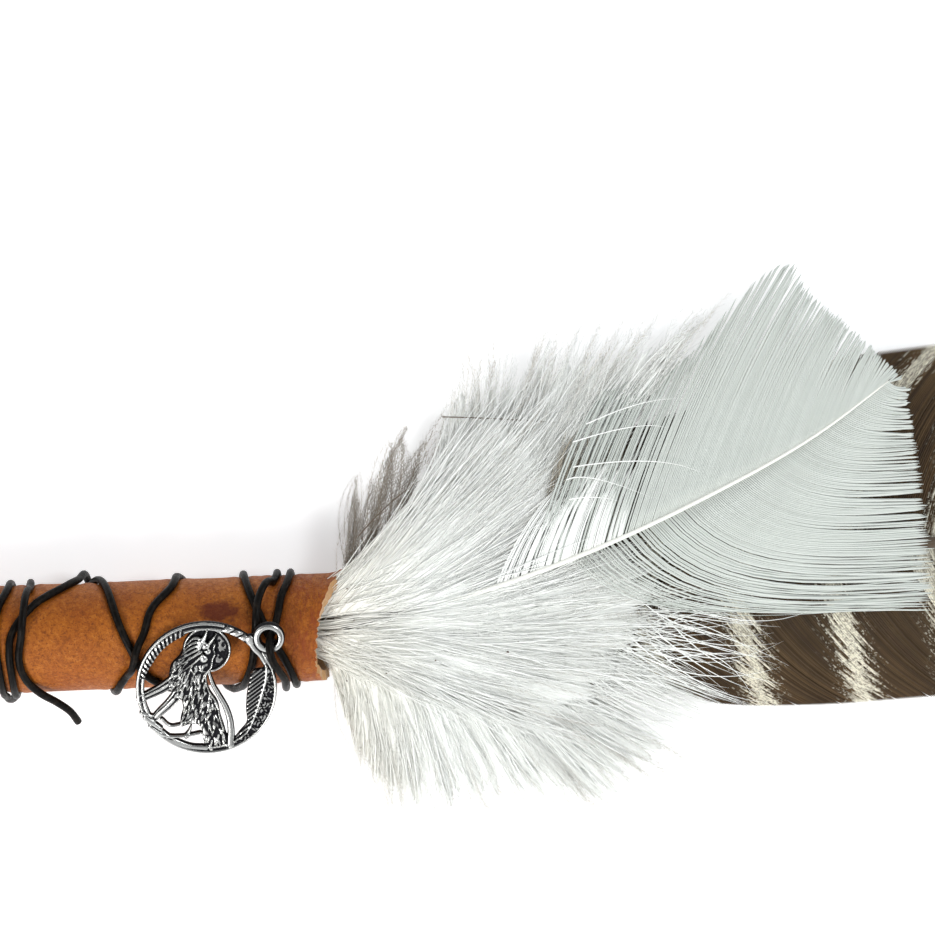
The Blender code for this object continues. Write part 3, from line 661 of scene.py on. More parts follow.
only(leather)
bpy.ops.object.mode_set(mode="EDIT")
bpy.ops.mesh.select_all(action="SELECT")
bpy.ops.mesh.normals_make_consistent(inside=False)
bpy.ops.object.mode_set(mode="OBJECT")
middle_face = leather.data.polygons[0]
outwards = np.array(middle_face.center) - world([0, 0, AXIS_HEIGHT])
if middle_face.normal[1] * outwards[1] + middle_face.normal[2] * outwards[2] < 0:
    bpy.ops.object.mode_set(mode="EDIT")
    bpy.ops.mesh.flip_normals()
    bpy.ops.object.mode_set(mode="OBJECT")
leather.data.materials.append(grain_finish())
leather.data.materials.append(suede_finish())
wall = leather.modifiers.new("leather thickness", "SOLIDIFY")
wall.thickness = LEATHER_THICKNESS * MM
wall.offset = -1
wall.use_even_offset = True
wall.material_offset = 1
wall.material_offset_rim = 1
bpy.ops.object.modifier_apply(modifier=wall.name)
bpy.ops.object.shade_smooth_by_angle(angle=math.radians(50))
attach(leather, "root")
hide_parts("leather_wrap")
print("the leather has", len(leather.data.polygons), "faces")

# %% [markdown]
# ## The cord
# Round black leather cord with a slight gloss. It is a long cylinder cut into short stretches, wound along
# its route. Its own creases make it a little uneven, and the cut end is pale inside.

# %% The cord


def cord_finish():
    material, tree, shader = plain_finish("black_cord_leather", 0.36, specular=0.08)
    places = object_places(tree)
    scuffs = noise(tree, places, 1100.0, 4.0, 0.7)
    color = mixed(tree, ramp(tree, scuffs, 0.5, 0.72), (0.003, 0.0025, 0.002), (0.018, 0.013, 0.009))
    tree.links.new(color, shader.inputs["Base Color"])
    tree.links.new(ramp(tree, scuffs, 0.35, 0.7, 0.28, 0.55), shader.inputs["Roughness"])
    bump(tree, shader, scuffs, 0.12, 0.8)
    return material


def cut_end_finish():
    material, tree, shader = plain_finish("cord_cut_end", 0.85, specular=0.2)
    fuzz = noise(tree, object_places(tree), 3000.0, 2.0)
    tree.links.new(mixed(tree, fuzz, (0.42, 0.33, 0.24), (0.20, 0.14, 0.10)), shader.inputs["Base Color"])
    return material


rng = np.random.default_rng(4)
unevenness = np.convolve(rng.normal(0, 1, len(cord_route)), np.ones(5) / 5, "same") * 0.035
from_axis = unit((cord_route - (0, 0, AXIS_HEIGHT)) * (0, 1, 1))
places, triangles, step = along_route(
    straight_stem(10, *CORD_CUTS), cord_route, CORD_RADIUS * (1 + unevenness), from_axis
)
cord = piece_from("black_cord", places, triangles, cord_finish())
cord.data.materials.append(cut_end_finish())
last = len(cord_route) - 1
for face in cord.data.polygons:
    if all(step[index] >= last for index in face.vertices):
        face.material_index = 1
        face.use_smooth = False
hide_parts("binding_cord")

# %% [markdown]
# ## The charm
# The charm is one silver casting with dark recesses: a ring with an eye for the cord, and inside it a
# howling wolf before a moon, bare branches and a small feather. It is a common figure, drawn here as lines
# and outlines of its own. Each adds to a height over the ring's plane. A fine flat grid is cut to the
# drawing's outline, extruded to a thickness, and its front raised to those heights.
# Places are millimetres from the ring's centre.

# %% The charm's drawing
RING_MIDDLE, RING_HALF_WIDTH = 12.45, 0.8
EYE_CENTRE, EYE_MIDDLE, EYE_HALF_WIDTH = (12.2, 9.6), 2.28, 0.72
MOON_CENTRE, MOON_RADIUS = (0.5, 7.7), 4.55
WOLF = [
    (0.0, 10.0), (0.7, 9.6), (1.5, 10.0), (2.2, 8.9), (1.9, 8.0), (2.1, 7.1), (1.6, 5.9), (1.3, 4.3),
    (0.4, 3.1), (0.2, 1.4), (0.6, -0.3), (2.0, -2.9), (2.4, -5.5), (3.1, -8.4), (3.3, -12.0), (2.0, -12.4),
    (-0.6, -12.3),
    (-1.1, -10.5), (-1.8, -7.5), (-2.8, -7.1), (-5.2, -7.6), (-5.2, -6.1), (-4.6, -3.5), (-5.2, -1.8),
    (-5.8, -1.7), (-6.9, 0.4), (-6.9, 2.6), (-6.3, 5.1), (-4.7, 6.8), (-3.9, 8.3), (-3.0, 9.5), (-1.6, 10.6),
]
SMALL_FEATHER = [
    (9.1, 3.3), (7.7, -0.6), (7.2, -4.5), (7.1, -7.5), (5.9, -8.9), (4.6, -10.9), (7.0, -10.9), (9.9, -8.4),
    (12.0, -5.1), (12.7, -1.7), (12.8, 1.7), (11.6, 4.4), (10.9, 3.6),
]
SNOUT = [(-0.9, 8.7), (-0.2, 9.6), (0.2, 10.3), (0.8, 11.9)]
JAW = [(0.6, 8.6), (1.4, 9.5), (2.4, 10.9)]
THROAT = [
    (2.3, 10.6), (2.1, 8.9), (1.8, 8.0), (2.0, 7.1), (1.5, 5.9), (1.2, 4.4), (0.2, 3.1), (0.1, 1.2),
    (0.6, -0.7), (1.9, -3.2), (2.2, -5.5), (2.8, -8.5),
]
MANE = [
    [(-0.6, 10.2), (-1.8, 10.2), (-3.4, 8.9)], [(-0.7, 9.6), (-2.2, 9.2), (-3.8, 7.9)],
    [(-0.8, 8.9), (-2.4, 8.3), (-4.3, 7.0)], [(-0.8, 8.2), (-2.4, 7.4), (-4.8, 6.0)],
    [(-0.6, 7.5), (-2.2, 6.5), (-4.8, 4.9)], [(-0.3, 6.8), (-1.8, 5.5), (-4.2, 3.8)],
]
BARS = [
    # line, half width at its start and end, height
    ([(-5.6, 2.0), (-8.7, 0.1), (-10.9, -0.9), (-12.6, -1.7)], 1.15, 0.75, 0.25),
    ([(-5.4, -1.1), (-7.3, -3.1), (-9.0, -4.6), (-10.6, -6.2)], 1.1, 0.65, 0.20),
    (
        [(0.6, 3.2), (1.2, 0.8), (2.3, -1.6), (3.4, -4.0), (4.0, -6.2), (4.2, -8.4), (4.0, -11.5)],
        0.35, 0.75, 0.30,
    ),
    ([(-12.4, -4.5), (-10.4, -5.1)], 0.45, 0.25, 0.35),
    ([(-11.7, -5.5), (-9.0, -7.7)], 0.6, 0.45, 0.45),
    ([(-11.0, -7.3), (-8.2, -9.2), (-5.0, -9.5), (-1.6, -9.0)], 0.35, 0.35, 0.35),
    ([(-8.7, -5.9), (-7.2, -7.3), (-5.0, -7.1)], 0.35, 0.3, 0.30),
    ([(-3.2, -7.4), (-3.6, -8.5), (-4.3, -9.6)], 0.15, 0.55, 0.20),
    ([(-8.0, -9.9), (-5.7, -11.0), (-3.8, -11.6), (-0.6, -12.0)], 0.45, 0.55, 0.25),
    ([(8.7, 9.5), (9.8, 9.0), (10.8, 8.2)], 0.9, 0.9, 0.35),
    ([(8.9, 8.9), (9.4, 7.7), (10.6, 6.0), (11.4, 4.4)], 0.8, 0.3, 0.30),
]
# Soft swellings and hollows of the wolf's head and neck: centre, radius, and height or depth
WOLF_SWELLINGS = (
    ((-0.5, 9.3), 0.95, 0.75), ((0.3, 8.6), 0.9, 0.8), ((0.6, 7.5), 0.7, 0.55), ((-0.2, 6.0), 0.8, 0.55),
    ((-0.9, 7.6), 0.6, 0.45),
)
WOLF_HOLLOWS = (((0.35, 7.95), 0.28, 0.5), ((0.75, 9.35), 0.25, 0.5), ((0.0, 7.1), 0.25, 0.4))
MIDRIB = [
    (9.6, 7.6), (10.6, 6.0), (11.4, 4.2), (11.3, 1.8), (10.1, -2.2), (8.7, -6.2), (7.1, -9.2), (4.8, -10.9),
]


# %% [markdown]
# Everything on the charm is worked out from distances: how far a place is from a line or an outline says
# whether it lies on that figure, and a round ridge over that distance says how high it stands.

# %% Distances to lines and outlines


def near_line(spots, line):
    """How far each spot is from a smooth line, and where along the line it is nearest, from 0 to 1."""
    line = np.array(line, float)
    if len(line) > 2:
        knots = lengths_along(line, 2)
        line = smooth(knots, line, np.linspace(0, knots[-1], 5 * len(line)))
    return near_stretches(spots, line)


def near_stretches(spots, line):
    """The same for a line that is already fine."""
    knots = lengths_along(line, 2)
    away = np.full(len(spots), 1e9)
    share = np.zeros(len(spots))
    for index in range(len(line) - 1):
        step = line[index + 1] - line[index]
        t = np.clip(((spots - line[index]) @ step) / max(step @ step, 1e-12), 0, 1)
        here = np.hypot(*(spots - line[index] - t[:, None] * step).T)
        nearer = here < away
        away[nearer] = here[nearer]
        share[nearer] = ((knots[index] + t * (knots[index + 1] - knots[index])) / knots[-1])[nearer]
    return away, share


def rounded_outline(outline):
    """A closed smooth line through the outline's corners."""
    corners = np.array(outline, float)
    closed = np.vstack([corners[-2:], corners, corners[:3]])
    knots = lengths_along(closed, 2)
    return smooth(knots, closed, np.linspace(knots[2], knots[2 + len(corners)], 5 * len(corners) + 1))


WOLF_LINE, SMALL_FEATHER_LINE = rounded_outline(WOLF), rounded_outline(SMALL_FEATHER)


def outside(spots, closed):
    """Distance from a closed line, negative inside it."""
    away, _ = near_stretches(spots, closed)
    inside = np.zeros(len(spots), bool)
    x, y = spots.T
    for (ax, ay), (bx, by) in zip(closed[:-1], closed[1:]):
        if ay != by:
            inside ^= ((ay > y) != (by > y)) & (x < (bx - ax) * (y - ay) / (by - ay) + ax)
    return np.where(inside, -away, away)


def ridge(away, half_width):
    """The height of a rounded ridge, from 1 on its line to 0 at its sides."""
    return np.sqrt(np.clip(1 - (away / half_width) ** 2, 0, 1))


# %% The cast outline and its fur


def outline_distance(spots):
    """Distance outside the whole casting, negative inside it."""
    radius = np.hypot(*spots.T)
    angle = np.degrees(np.arctan2(spots[:, 1], spots[:, 0])) % 360
    wide = np.interp(angle, (0, 100, 112, 150, 166, 180, 300, 330, 360), (0, 0, 0.55, 0.55, 0, 0, 0, 0.1, 0))
    shapes = [np.abs(radius - RING_MIDDLE + wide / 2) - RING_HALF_WIDTH - wide / 2]
    shapes.append(np.hypot(*(spots - MOON_CENTRE).T) - MOON_RADIUS)
    shapes.append(np.abs(np.hypot(*(spots - EYE_CENTRE).T) - EYE_MIDDLE) - EYE_HALF_WIDTH)
    shapes += [outside(spots, WOLF_LINE), outside(spots, SMALL_FEATHER_LINE)]
    for line, start, end, _ in BARS + [(SNOUT, 0.8, 0.16, 0), (JAW, 0.4, 0.16, 0)]:
        away, share = near_line(spots, line)
        shapes.append(away - (start + (end - start) * share))
    hole = EYE_MIDDLE - EYE_HALF_WIDTH - np.hypot(*(spots - EYE_CENTRE).T)
    return np.maximum(np.min(shapes, axis=0), hole)


def tufts(rng, spots, height, count, box, heading, length, half_width, rise):
    """Raises many small pointed tufts of fur inside the wolf's outline."""
    roots = rng.uniform(box[0], box[1], (count * 4, 2))
    roots = roots[outside(roots, WOLF_LINE) < -0.15][:count]
    for root in roots:
        turn = math.radians(heading(root) + rng.normal(0, 14))
        long = length * rng.uniform(0.7, 1.3)
        tip = root + long * np.array([math.cos(turn), math.sin(turn)])
        near = np.flatnonzero(np.abs(spots - (root + tip) / 2).max(axis=1) < long)
        away, share = near_stretches(spots[near], np.array([root, tip]))
        wide = half_width * (1 - 0.75 * share)
        tuft = rise * rng.uniform(0.6, 1.2) * ridge(away, wide) * (0.35 + 0.65 * share)
        height[near] = np.maximum(height[near], np.where(away < wide, tuft, 0))


# %% Relief of the ring and the moon


def ring_relief(spots, radius):
    """The ring's height and where the ring is. It has rims, smooth stretches, hatching and a row of beads."""
    angle = np.degrees(np.arctan2(spots[:, 1], spots[:, 0])) % 360
    ring_edge = np.abs(radius - RING_MIDDLE)
    smooth_band = np.interp(angle, (0, 20, 50, 175, 200, 285, 320, 360), (1, 1, 0, 0, 0.7, 0, 1, 1))
    rims = np.maximum(ridge(np.abs(radius - 12.98), 0.30), 0.9 * ridge(np.abs(radius - 11.95), 0.28))
    by_feather = np.interp(angle, (0, 12, 22, 296, 312, 360), (1, 1, 0, 0, 1, 1))
    band = 0.27 * (smooth_band * ridge(ring_edge, 0.95) + (1 - smooth_band) * rims)
    band = band * (1 - by_feather) + by_feather * 0.30 * ridge(np.abs(radius - 12.98), 0.30)
    hatch = np.abs(((radius * 1.1 + angle * 0.42) % 1.9) - 0.95) < 0.5
    hatched = (angle > 108) & (angle < 168) & (radius > 11.0)
    band = np.where(hatched & (radius < 12.6), 0.30 * hatch * ridge(np.abs(radius - 11.9), 0.85), band)
    beads = (angle > 42) & (angle < 72)
    rope = np.abs(np.sin(np.radians(angle * 22 + radius * 60)))
    band = np.where(beads & (ring_edge < 0.7), 0.27 * rope * ridge(ring_edge, 0.8), band)
    on_ring = ring_edge < RING_HALF_WIDTH + 0.6 * hatched
    return np.where(on_ring, band + 0.02, 0.0), on_ring


def add_moon(rng, spots, height, on_ring):
    """A recessed disc with many small pits and a raised rim."""
    moon = np.hypot(*(spots - MOON_CENTRE).T)
    on_moon = moon < MOON_RADIUS
    pits = np.zeros(len(spots))
    for pit in rng.normal(0, 2.0, (150, 2)) + MOON_CENTRE:
        pits = np.maximum(pits, ridge(np.hypot(*(spots - pit).T), rng.uniform(0.15, 0.4)))
    face = -0.30 - 0.12 * pits + 0.55 * ridge(np.abs(moon - MOON_RADIUS + 0.25), 0.28)
    height = np.where(on_moon & ~on_ring, face, height)
    return np.where(on_moon & on_ring, np.maximum(height, face), height)


# %% Relief of the branches, the wolf and the small feather


def add_branches(spots, height):
    """Rounded bars. The widest have two rims and a line down the middle."""
    for line, start, end, rise in BARS:
        away, share = near_line(spots, line)
        wide = start + (end - start) * share
        bar = rise * (0.35 + 0.65 * ridge(away, wide))
        if start > 1.0:
            rims = ridge(np.abs(away - wide * 0.82), wide * 0.2)
            bar = rise * (0.2 + 1.1 * rims + 0.5 * ridge(away, wide * 0.3))
        height = np.where(away < wide, np.maximum(height, bar), height)
    return height


def add_wolf(rng, spots, height):
    """A rounded body with tufts of fur, a mane, and a head thrown back with its mouth open."""
    wolf = outside(spots, WOLF_LINE)
    body = np.where(wolf < 0, 0.12 * ridge(np.clip(wolf + 1.4, 0, None), 1.4), 0.0)
    fur = np.zeros(len(spots))
    tufts(rng, spots, fur, 190, ((-6.9, -12.3), (3.3, 4.6)), lambda root: -96 + 5 * root[0], 1.25, 0.24, 0.50)
    tufts(rng, spots, fur, 40, ((-6.8, 0.5), (-1, 7.5)), lambda root: -128, 1.5, 0.24, 0.45)
    for line in MANE:
        away, share = near_line(spots, line)
        fur = np.maximum(fur, 0.5 * ridge(away, 0.30 * (1 - 0.7 * share)))
    away, share = near_line(spots, THROAT)
    fur = np.maximum(fur, 0.55 * ridge(away, 0.22))
    height = np.where(wolf < 0, np.maximum(height, body + fur), height)
    for centre, size, rise in WOLF_SWELLINGS:
        away = np.hypot(*(spots - centre).T)
        height = np.where(away < size, np.maximum(height, rise * ridge(away, size)), height)
    for line, start, end, rise in ((SNOUT, 0.75, 0.16, 0.75), (JAW, 0.42, 0.16, 0.6)):
        away, share = near_line(spots, line)
        wide = start + (end - start) * share
        height = np.where(away < wide, np.maximum(height, rise * ridge(away, wide)), height)
    for centre, size, depth in WOLF_HOLLOWS:
        height -= depth * ridge(np.hypot(*(spots - centre).T), size)
    return height


def add_small_feather(spots, height, radius):
    """A raised midrib with slanting barbs on one side and a curly scroll on the other."""
    quill = outside(spots, SMALL_FEATHER_LINE)
    away, share = near_line(spots, MIDRIB)
    rib_x = np.interp(spots[:, 1], [y for _, y in MIDRIB[::-1]], [x for x, _ in MIDRIB[::-1]])
    lines = ((spots[:, 1] * 0.80 - spots[:, 0] * 0.60) % 0.62) < 0.26
    sway = np.sin(spots[:, 0] * 3.1 + spots[:, 1] * 1.7), np.sin(spots[:, 1] * 2.3)
    scroll = np.sin(spots[:, 1] * 5.2 + 2.2 * sway[0])
    scroll *= np.sin(spots[:, 0] * 4.6 - spots[:, 1] * 1.3 + 2.0 * sway[1])
    barbs = np.where(spots[:, 0] < rib_x, 0.05 + 0.26 * lines, 0.12 + 0.34 * (scroll > 0.1))
    rib = 0.5 * ridge(away, 0.28 * (1.1 - 0.5 * share))
    in_feather = (quill < 0) & (radius < 12.65)
    height = np.where(in_feather, np.maximum(barbs, rib), height)
    return np.where(~in_feather & (quill < 0.3) & (rib > 0), np.maximum(height, rib), height)


def front_height(spots):
    """How far the front stands over the ring's plane: the rounded edge, and the relief on it."""
    rng = np.random.default_rng(8)
    radius = np.hypot(*spots.T)
    inward = np.clip(-outline_distance(spots), 0, None)
    rounded = 0.38 * np.sqrt(np.clip(1 - (1 - np.clip(inward, 0, 0.4) / 0.4) ** 2, 0, 1))
    height, on_ring = ring_relief(spots, radius)
    height = add_moon(rng, spots, height, on_ring)
    height = add_branches(spots, height)
    height = add_wolf(rng, spots, height)
    height = add_small_feather(spots, height, radius)
    eye = np.hypot(*(spots - EYE_CENTRE).T) - EYE_MIDDLE
    loop = 0.50 * ridge(np.abs(eye + 0.05), 0.75)
    height = np.where(np.abs(eye) < EYE_HALF_WIDTH, np.maximum(loop, height * 0.4), height)
    return rounded, height


# %% Cutting and raising the charm
CHARM_STEP = 0.115
CHARM_LOW, CHARM_HIGH = np.array([-13.6, -13.6]), np.array([15.6, 13.6])
CHARM_BACK = -0.62

cells = np.rint((CHARM_HIGH - CHARM_LOW) / CHARM_STEP).astype(int)
bpy.ops.object.select_all(action="DESELECT")
bpy.ops.mesh.primitive_grid_add(x_subdivisions=int(cells[0]), y_subdivisions=int(cells[1]), size=1.0)
charm = bpy.context.object
charm.name = "silver_charm"
flat = places_of(charm)
spots = CHARM_LOW + (flat[:, :2] + 0.5) * (CHARM_HIGH - CHARM_LOW)
put_places(charm, np.column_stack([spots, np.zeros(len(spots))]))
distance = outline_distance(spots)
corners = np.array([face.vertices[:] for face in charm.data.polygons])
outside_faces = distance[corners].mean(axis=1) > 0

bpy.ops.object.mode_set(mode="EDIT")
bpy.ops.mesh.select_mode(type="FACE")
bpy.ops.mesh.select_all(action="DESELECT")
bpy.ops.object.mode_set(mode="OBJECT")
charm.data.polygons.foreach_set("select", outside_faces)
bpy.ops.object.mode_set(mode="EDIT")
bpy.ops.mesh.delete(type="FACE")
bpy.ops.object.mode_set(mode="OBJECT")

spots = places_of(charm)[:, :2]
faces = np.array([face.vertices[:] for face in charm.data.polygons])
sides = np.concatenate([faces[:, pair] for pair in ([0, 1], [1, 2], [2, 3], [3, 0])])
sides = np.sort(sides, axis=1)
sides, shared_by = np.unique(sides, axis=0, return_counts=True)
rim = np.unique(sides[shared_by == 1])
for _ in range(3):
    some = spots[rim]
    away = outline_distance(some)
    nudge = 0.02
    slope = np.stack(
        [outline_distance(some + (nudge, 0)) - away, outline_distance(some + (0, nudge)) - away], axis=1
    ) / nudge
    spots[rim] = some - np.clip(away, -0.1, 0.1)[:, None] * unit(slope) * 0.8
put_places(charm, np.column_stack([spots, np.zeros(len(spots))]))

only(charm)
bpy.ops.object.mode_set(mode="EDIT")
bpy.ops.mesh.select_all(action="SELECT")
bpy.ops.mesh.extrude_region_move(TRANSFORM_OT_translate={"value": (0, 0, -1)})
bpy.ops.mesh.select_all(action="SELECT")
bpy.ops.mesh.normals_make_consistent(inside=False)
bpy.ops.object.mode_set(mode="OBJECT")

# %% Raising the relief
places = places_of(charm)
front = places[:, 2] > -0.5
rounded, height = front_height(places[:, :2])
places[:, 2] = np.where(front, np.clip(rounded + height, -0.4, 1.25), CHARM_BACK + 0.2 - 0.45 * rounded)
grid_index = np.clip(np.rint((places[:, :2] - CHARM_LOW) / CHARM_STEP).astype(int), 0, cells)
levels = np.full(cells + 1, np.nan)
levels[tuple(grid_index[front].T)] = places[front, 2]


def local_mean(levels, reach):
    """The mean height around each place of the drawing."""
    known = ~np.isnan(levels)
    total = np.where(known, levels, 0.0)
    weight = known.astype(float)
    for axis in (0, 1):
        total = sum(np.roll(total, shift, axis) for shift in range(-reach, reach + 1))
        weight = sum(np.roll(weight, shift, axis) for shift in range(-reach, reach + 1))
    return total / np.maximum(weight, 1)


mean_level = local_mean(levels, 5)[tuple(grid_index.T)]
oxide_and_moon_reflection = np.clip((mean_level - places[:, 2]) / 0.14 + 0.30, 0, 1)
# The moon's face is darkened all over, beyond the oxide in its hollows: a painted dark reflection of the room
# overhead.
on_moon = np.hypot(*(places[:, :2] - MOON_CENTRE).T) < MOON_RADIUS - 0.5
moon_painted_dark = 0.40 + 0.55 * np.clip((0.08 - places[:, 2]) / 0.12, 0, 1)
oxide_and_moon_reflection = np.where(on_moon & (places[:, 2] < 0.1), np.maximum(oxide_and_moon_reflection * 0.9, moon_painted_dark), oxide_and_moon_reflection)
oxide_and_moon_reflection = np.where(front, oxide_and_moon_reflection, 0.35)

# %% Laying the charm on the handle
CHARM_TILT = math.radians(22.0)
CHARM_CENTRE = (-21.7, -10.3)
CHARM_PLANE = 13.2
charm_lift = (CHARM_PLANE + math.sin(CHARM_TILT) * CHARM_CENTRE[1]) / math.cos(CHARM_TILT)
tilt = np.array(Matrix.Rotation(CHARM_TILT, 3, "X"))
placed = (places * (1.005, 1.02, 1)) @ tilt.T + (*CHARM_CENTRE, AXIS_HEIGHT + charm_lift - 0.1)
put_places(charm, world(placed))
charm.data.attributes.new("oxide_and_moon_reflection", "FLOAT", "POINT").data.foreach_set("value", oxide_and_moon_reflection.astype(np.float32))
print("the charm has", len(charm.data.polygons), "faces")

# %% The charm's silver


def silver_finish():
    material, tree, shader = plain_finish("antique_silver", 0.27, metallic=1.0)
    oxide_and_moon_reflection = node(tree, "Attribute", attribute_name="oxide_and_moon_reflection").outputs["Fac"]
    wear = noise(tree, object_places(tree), 1500.0, 3.0, 0.7)
    # Dark where oxide fills the hollows, and on the moon's face, where the dark is a painted reflection.
    dark = ramp(tree, maths(tree, "ADD", oxide_and_moon_reflection, maths(tree, "MULTIPLY", wear, 0.3)), 0.33, 0.68)
    color = mixed(tree, dark, (0.50, 0.50, 0.48), (0.013, 0.013, 0.015))
    tree.links.new(color, shader.inputs["Base Color"])
    tree.links.new(ramp(tree, dark, 0.0, 1.0, 0.22, 0.55), shader.inputs["Roughness"])
    bump(tree, shader, wear, 0.03, 0.6)
    return material


charm.data.materials.append(silver_finish())
only(charm)
bpy.ops.object.shade_smooth_by_angle(angle=math.radians(50))
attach(charm, "root")
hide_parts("charm")

# %% [markdown]
# ## Finishes of feathers
# Feather is a soft, slightly glossy horn. White barbs differ a little from each other, so every barb carries
# its own number from 0 to 1 in the attribute barb, and the colour follows it.
# On the brown feather the pale bars cross the barbs. Each barb changes colour at its own place, which gives
# the bars their ragged edge, so a number for the place across the bars is kept too.

# %% Feather finishes


def barb_numbers(tree):
    """The barb attribute's three numbers: place across the bars, distance out, and the barb's own number."""
    attribute = node(tree, "Attribute", attribute_name="barb")
    return node(tree, "SeparateXYZ", {0: attribute.outputs["Vector"]}).outputs


def barb_finish(name, bright, shaded, roughness=0.55, cream=0.0, tan_tips=0.0):
    """A barb colour that varies from barb to barb. cream warms it by the handle's mouth, and tan_tips darkens
    the tips of some barbs.
    """
    material, tree, shader = plain_finish(name, roughness, specular=0.3, sheen=0.15)
    own = barb_numbers(tree)[2]
    places = object_places(tree)
    cloud = noise(tree, places, 160.0, 2.0)
    amount = maths(tree, "ADD", maths(tree, "MULTIPLY", own, 0.6), maths(tree, "MULTIPLY", cloud, 0.5))
    color = mixed(tree, amount, bright, shaded)
    if cream:
        along = node(tree, "SeparateXYZ", {0: places}).outputs[0]
        mouth = world([0, 0, 0])[0]
        near_mouth = ramp(tree, along, mouth + 22 * MM, mouth, 0.0, cream)
        color = mixed(tree, near_mouth, color, (0.80, 0.72, 0.55))
    if tan_tips:
        tip = ramp(tree, barb_numbers(tree)[1], 0.5, 1.0, 0.0, tan_tips)
        some_tips = maths(tree, "MULTIPLY", tip, ramp(tree, own, 0.45, 0.60))
        color = mixed(tree, some_tips, color, (0.36, 0.28, 0.20))
    tree.links.new(color, shader.inputs["Base Color"])
    return material


WHITE_VANE = barb_finish("white_vane_barbs", (0.65, 0.685, 0.64), (0.58, 0.615, 0.57))
WHITE_DOWN = barb_finish(
    "white_down_barbs", (0.97, 0.98, 0.95), (0.93, 0.945, 0.91), 0.75, cream=0.30, tan_tips=0.6
)
IVORY = barb_finish("ivory_shaft", (0.90, 0.90, 0.84), (0.82, 0.81, 0.72), 0.35)
BROWN_DOWN = barb_finish("brown_down_barbs", (0.46, 0.40, 0.32), (0.12, 0.09, 0.06), 0.7)
GREY_DOWN = barb_finish("grey_down_barbs", (0.70, 0.66, 0.57), (0.34, 0.29, 0.21), 0.7)
HORN = barb_finish("brown_horn_shaft", (0.10, 0.07, 0.045), (0.16, 0.12, 0.08), 0.35)

# %% The barred brown finish
BAR_PERIOD = 18.8
BAR_PLACE = 78.6
BAR_HALF_WIDTH = 1.9


def barred_finish():
    material, tree, shader = plain_finish("barred_barbs", 0.55, specular=0.22)
    across, out, own = barb_numbers(tree)[0:3]
    own_shift = maths(tree, "MULTIPLY", maths(tree, "SUBTRACT", own, 0.5), 3.0)
    row = maths(tree, "MULTIPLY", own, 60.0)
    stretched = maths(tree, "MULTIPLY", out, 0.9)
    fleck_places = node(tree, "CombineXYZ", {0: stretched, 1: row, 2: across}).outputs[0]
    flecks = noise(tree, fleck_places, 0.9, 2.0)
    fine_flecks = noise(tree, fleck_places, 1.7, 2.0)
    shifted = maths(tree, "ADD", maths(tree, "ADD", across, own_shift), maths(tree, "MULTIPLY", flecks, 2.4))
    before_bar = BAR_PLACE + 1.2 - BAR_PERIOD / 2
    turns = maths(tree, "DIVIDE", maths(tree, "SUBTRACT", shifted, before_bar), BAR_PERIOD)
    wrapped = maths(tree, "FRACT", turns)
    from_middle = maths(tree, "ABSOLUTE", maths(tree, "SUBTRACT", wrapped, 0.5))
    apart = maths(tree, "MULTIPLY", from_middle, BAR_PERIOD)
    bar = ramp(tree, apart, BAR_HALF_WIDTH + 0.4, BAR_HALF_WIDTH - 0.4)
    near_bar = ramp(tree, apart, BAR_HALF_WIDTH + 3.2, BAR_HALF_WIDTH + 0.4)
    speckle = ramp(tree, fine_flecks, 0.50, 0.58)
    pale = maths(tree, "MULTIPLY", bar, maths(tree, "SUBTRACT", 1.0, maths(tree, "MULTIPLY", speckle, 0.8)))
    stray = maths(tree, "MULTIPLY", near_bar, ramp(tree, fine_flecks, 0.55, 0.62, 0.0, 0.7))
    pale = maths(tree, "MAXIMUM", pale, stray)
    cloud = noise(tree, object_places(tree), 60.0, 3.0)
    brown = mixed(tree, ramp(tree, cloud, 0.35, 0.65), (0.110, 0.066, 0.029), (0.056, 0.033, 0.014))
    brown = mixed(tree, ramp(tree, own, 0.3, 1.0, 0.0, 0.75), brown, (0.028, 0.016, 0.008))
    color = mixed(tree, pale, brown, (0.74, 0.70, 0.57))
    tree.links.new(color, shader.inputs["Base Color"])
    return material


BARRED = barred_finish()

# %% [markdown]
# ## Feathers
# A feather is a shaft with a row of barbs on each side. The shaft's line is (x, y, height, radius) and each
# side is a few barbs from base to tip: how far along the shaft the barb starts, and where its tip is.
# Between them the barbs change smoothly, so a vane of hundreds of barbs needs only a dozen rows.

# %% Shafts and rows of barbs


def on_shaft(shaft, at):
    return smooth(lengths_along(shaft), shaft, at)


def make_shaft(name, shaft, start, end, finish, sides=8):
    """A tapered shaft along the line from one place on it to another."""
    line = on_shaft(shaft, np.linspace(start, end, 60))
    bent, triangles, _ = along_route(straight_stem(sides, 58), line[:, :3], line[:, 3])
    return piece_from(name, bent, triangles, finish, {"barb": np.zeros((len(bent), 3))})


def barb_lines(shaft, side, starts, bow=0.16):
    """Cubic lines of barbs that start at places along the shaft and end on the side's edge."""
    side = np.array(side, float)
    roots = on_shaft(shaft, starts)[:, :3]
    ahead = on_shaft(shaft, starts + 1.0)[:, :3] - roots
    tips = smooth(side[:, 0], side[:, 1:], starts)
    barb = tips - roots
    across = np.stack([-barb[:, 1], barb[:, 0], np.zeros(len(barb))], axis=1)
    across *= -np.sign((across * ahead).sum(axis=1))[:, None]
    centre = roots + barb / 2 + across * bow
    first = roots + (centre - roots) * 2 / 3
    second = tips + (centre - tips) * 2 / 3
    first[:, 2] = roots[:, 2] + 0.10 * barb[:, 2]
    second[:, 2] = roots[:, 2] + 0.52 * barb[:, 2]
    return np.stack([roots, first, second, tips], axis=1)


# %% Spacing, groups and numbers of barbs


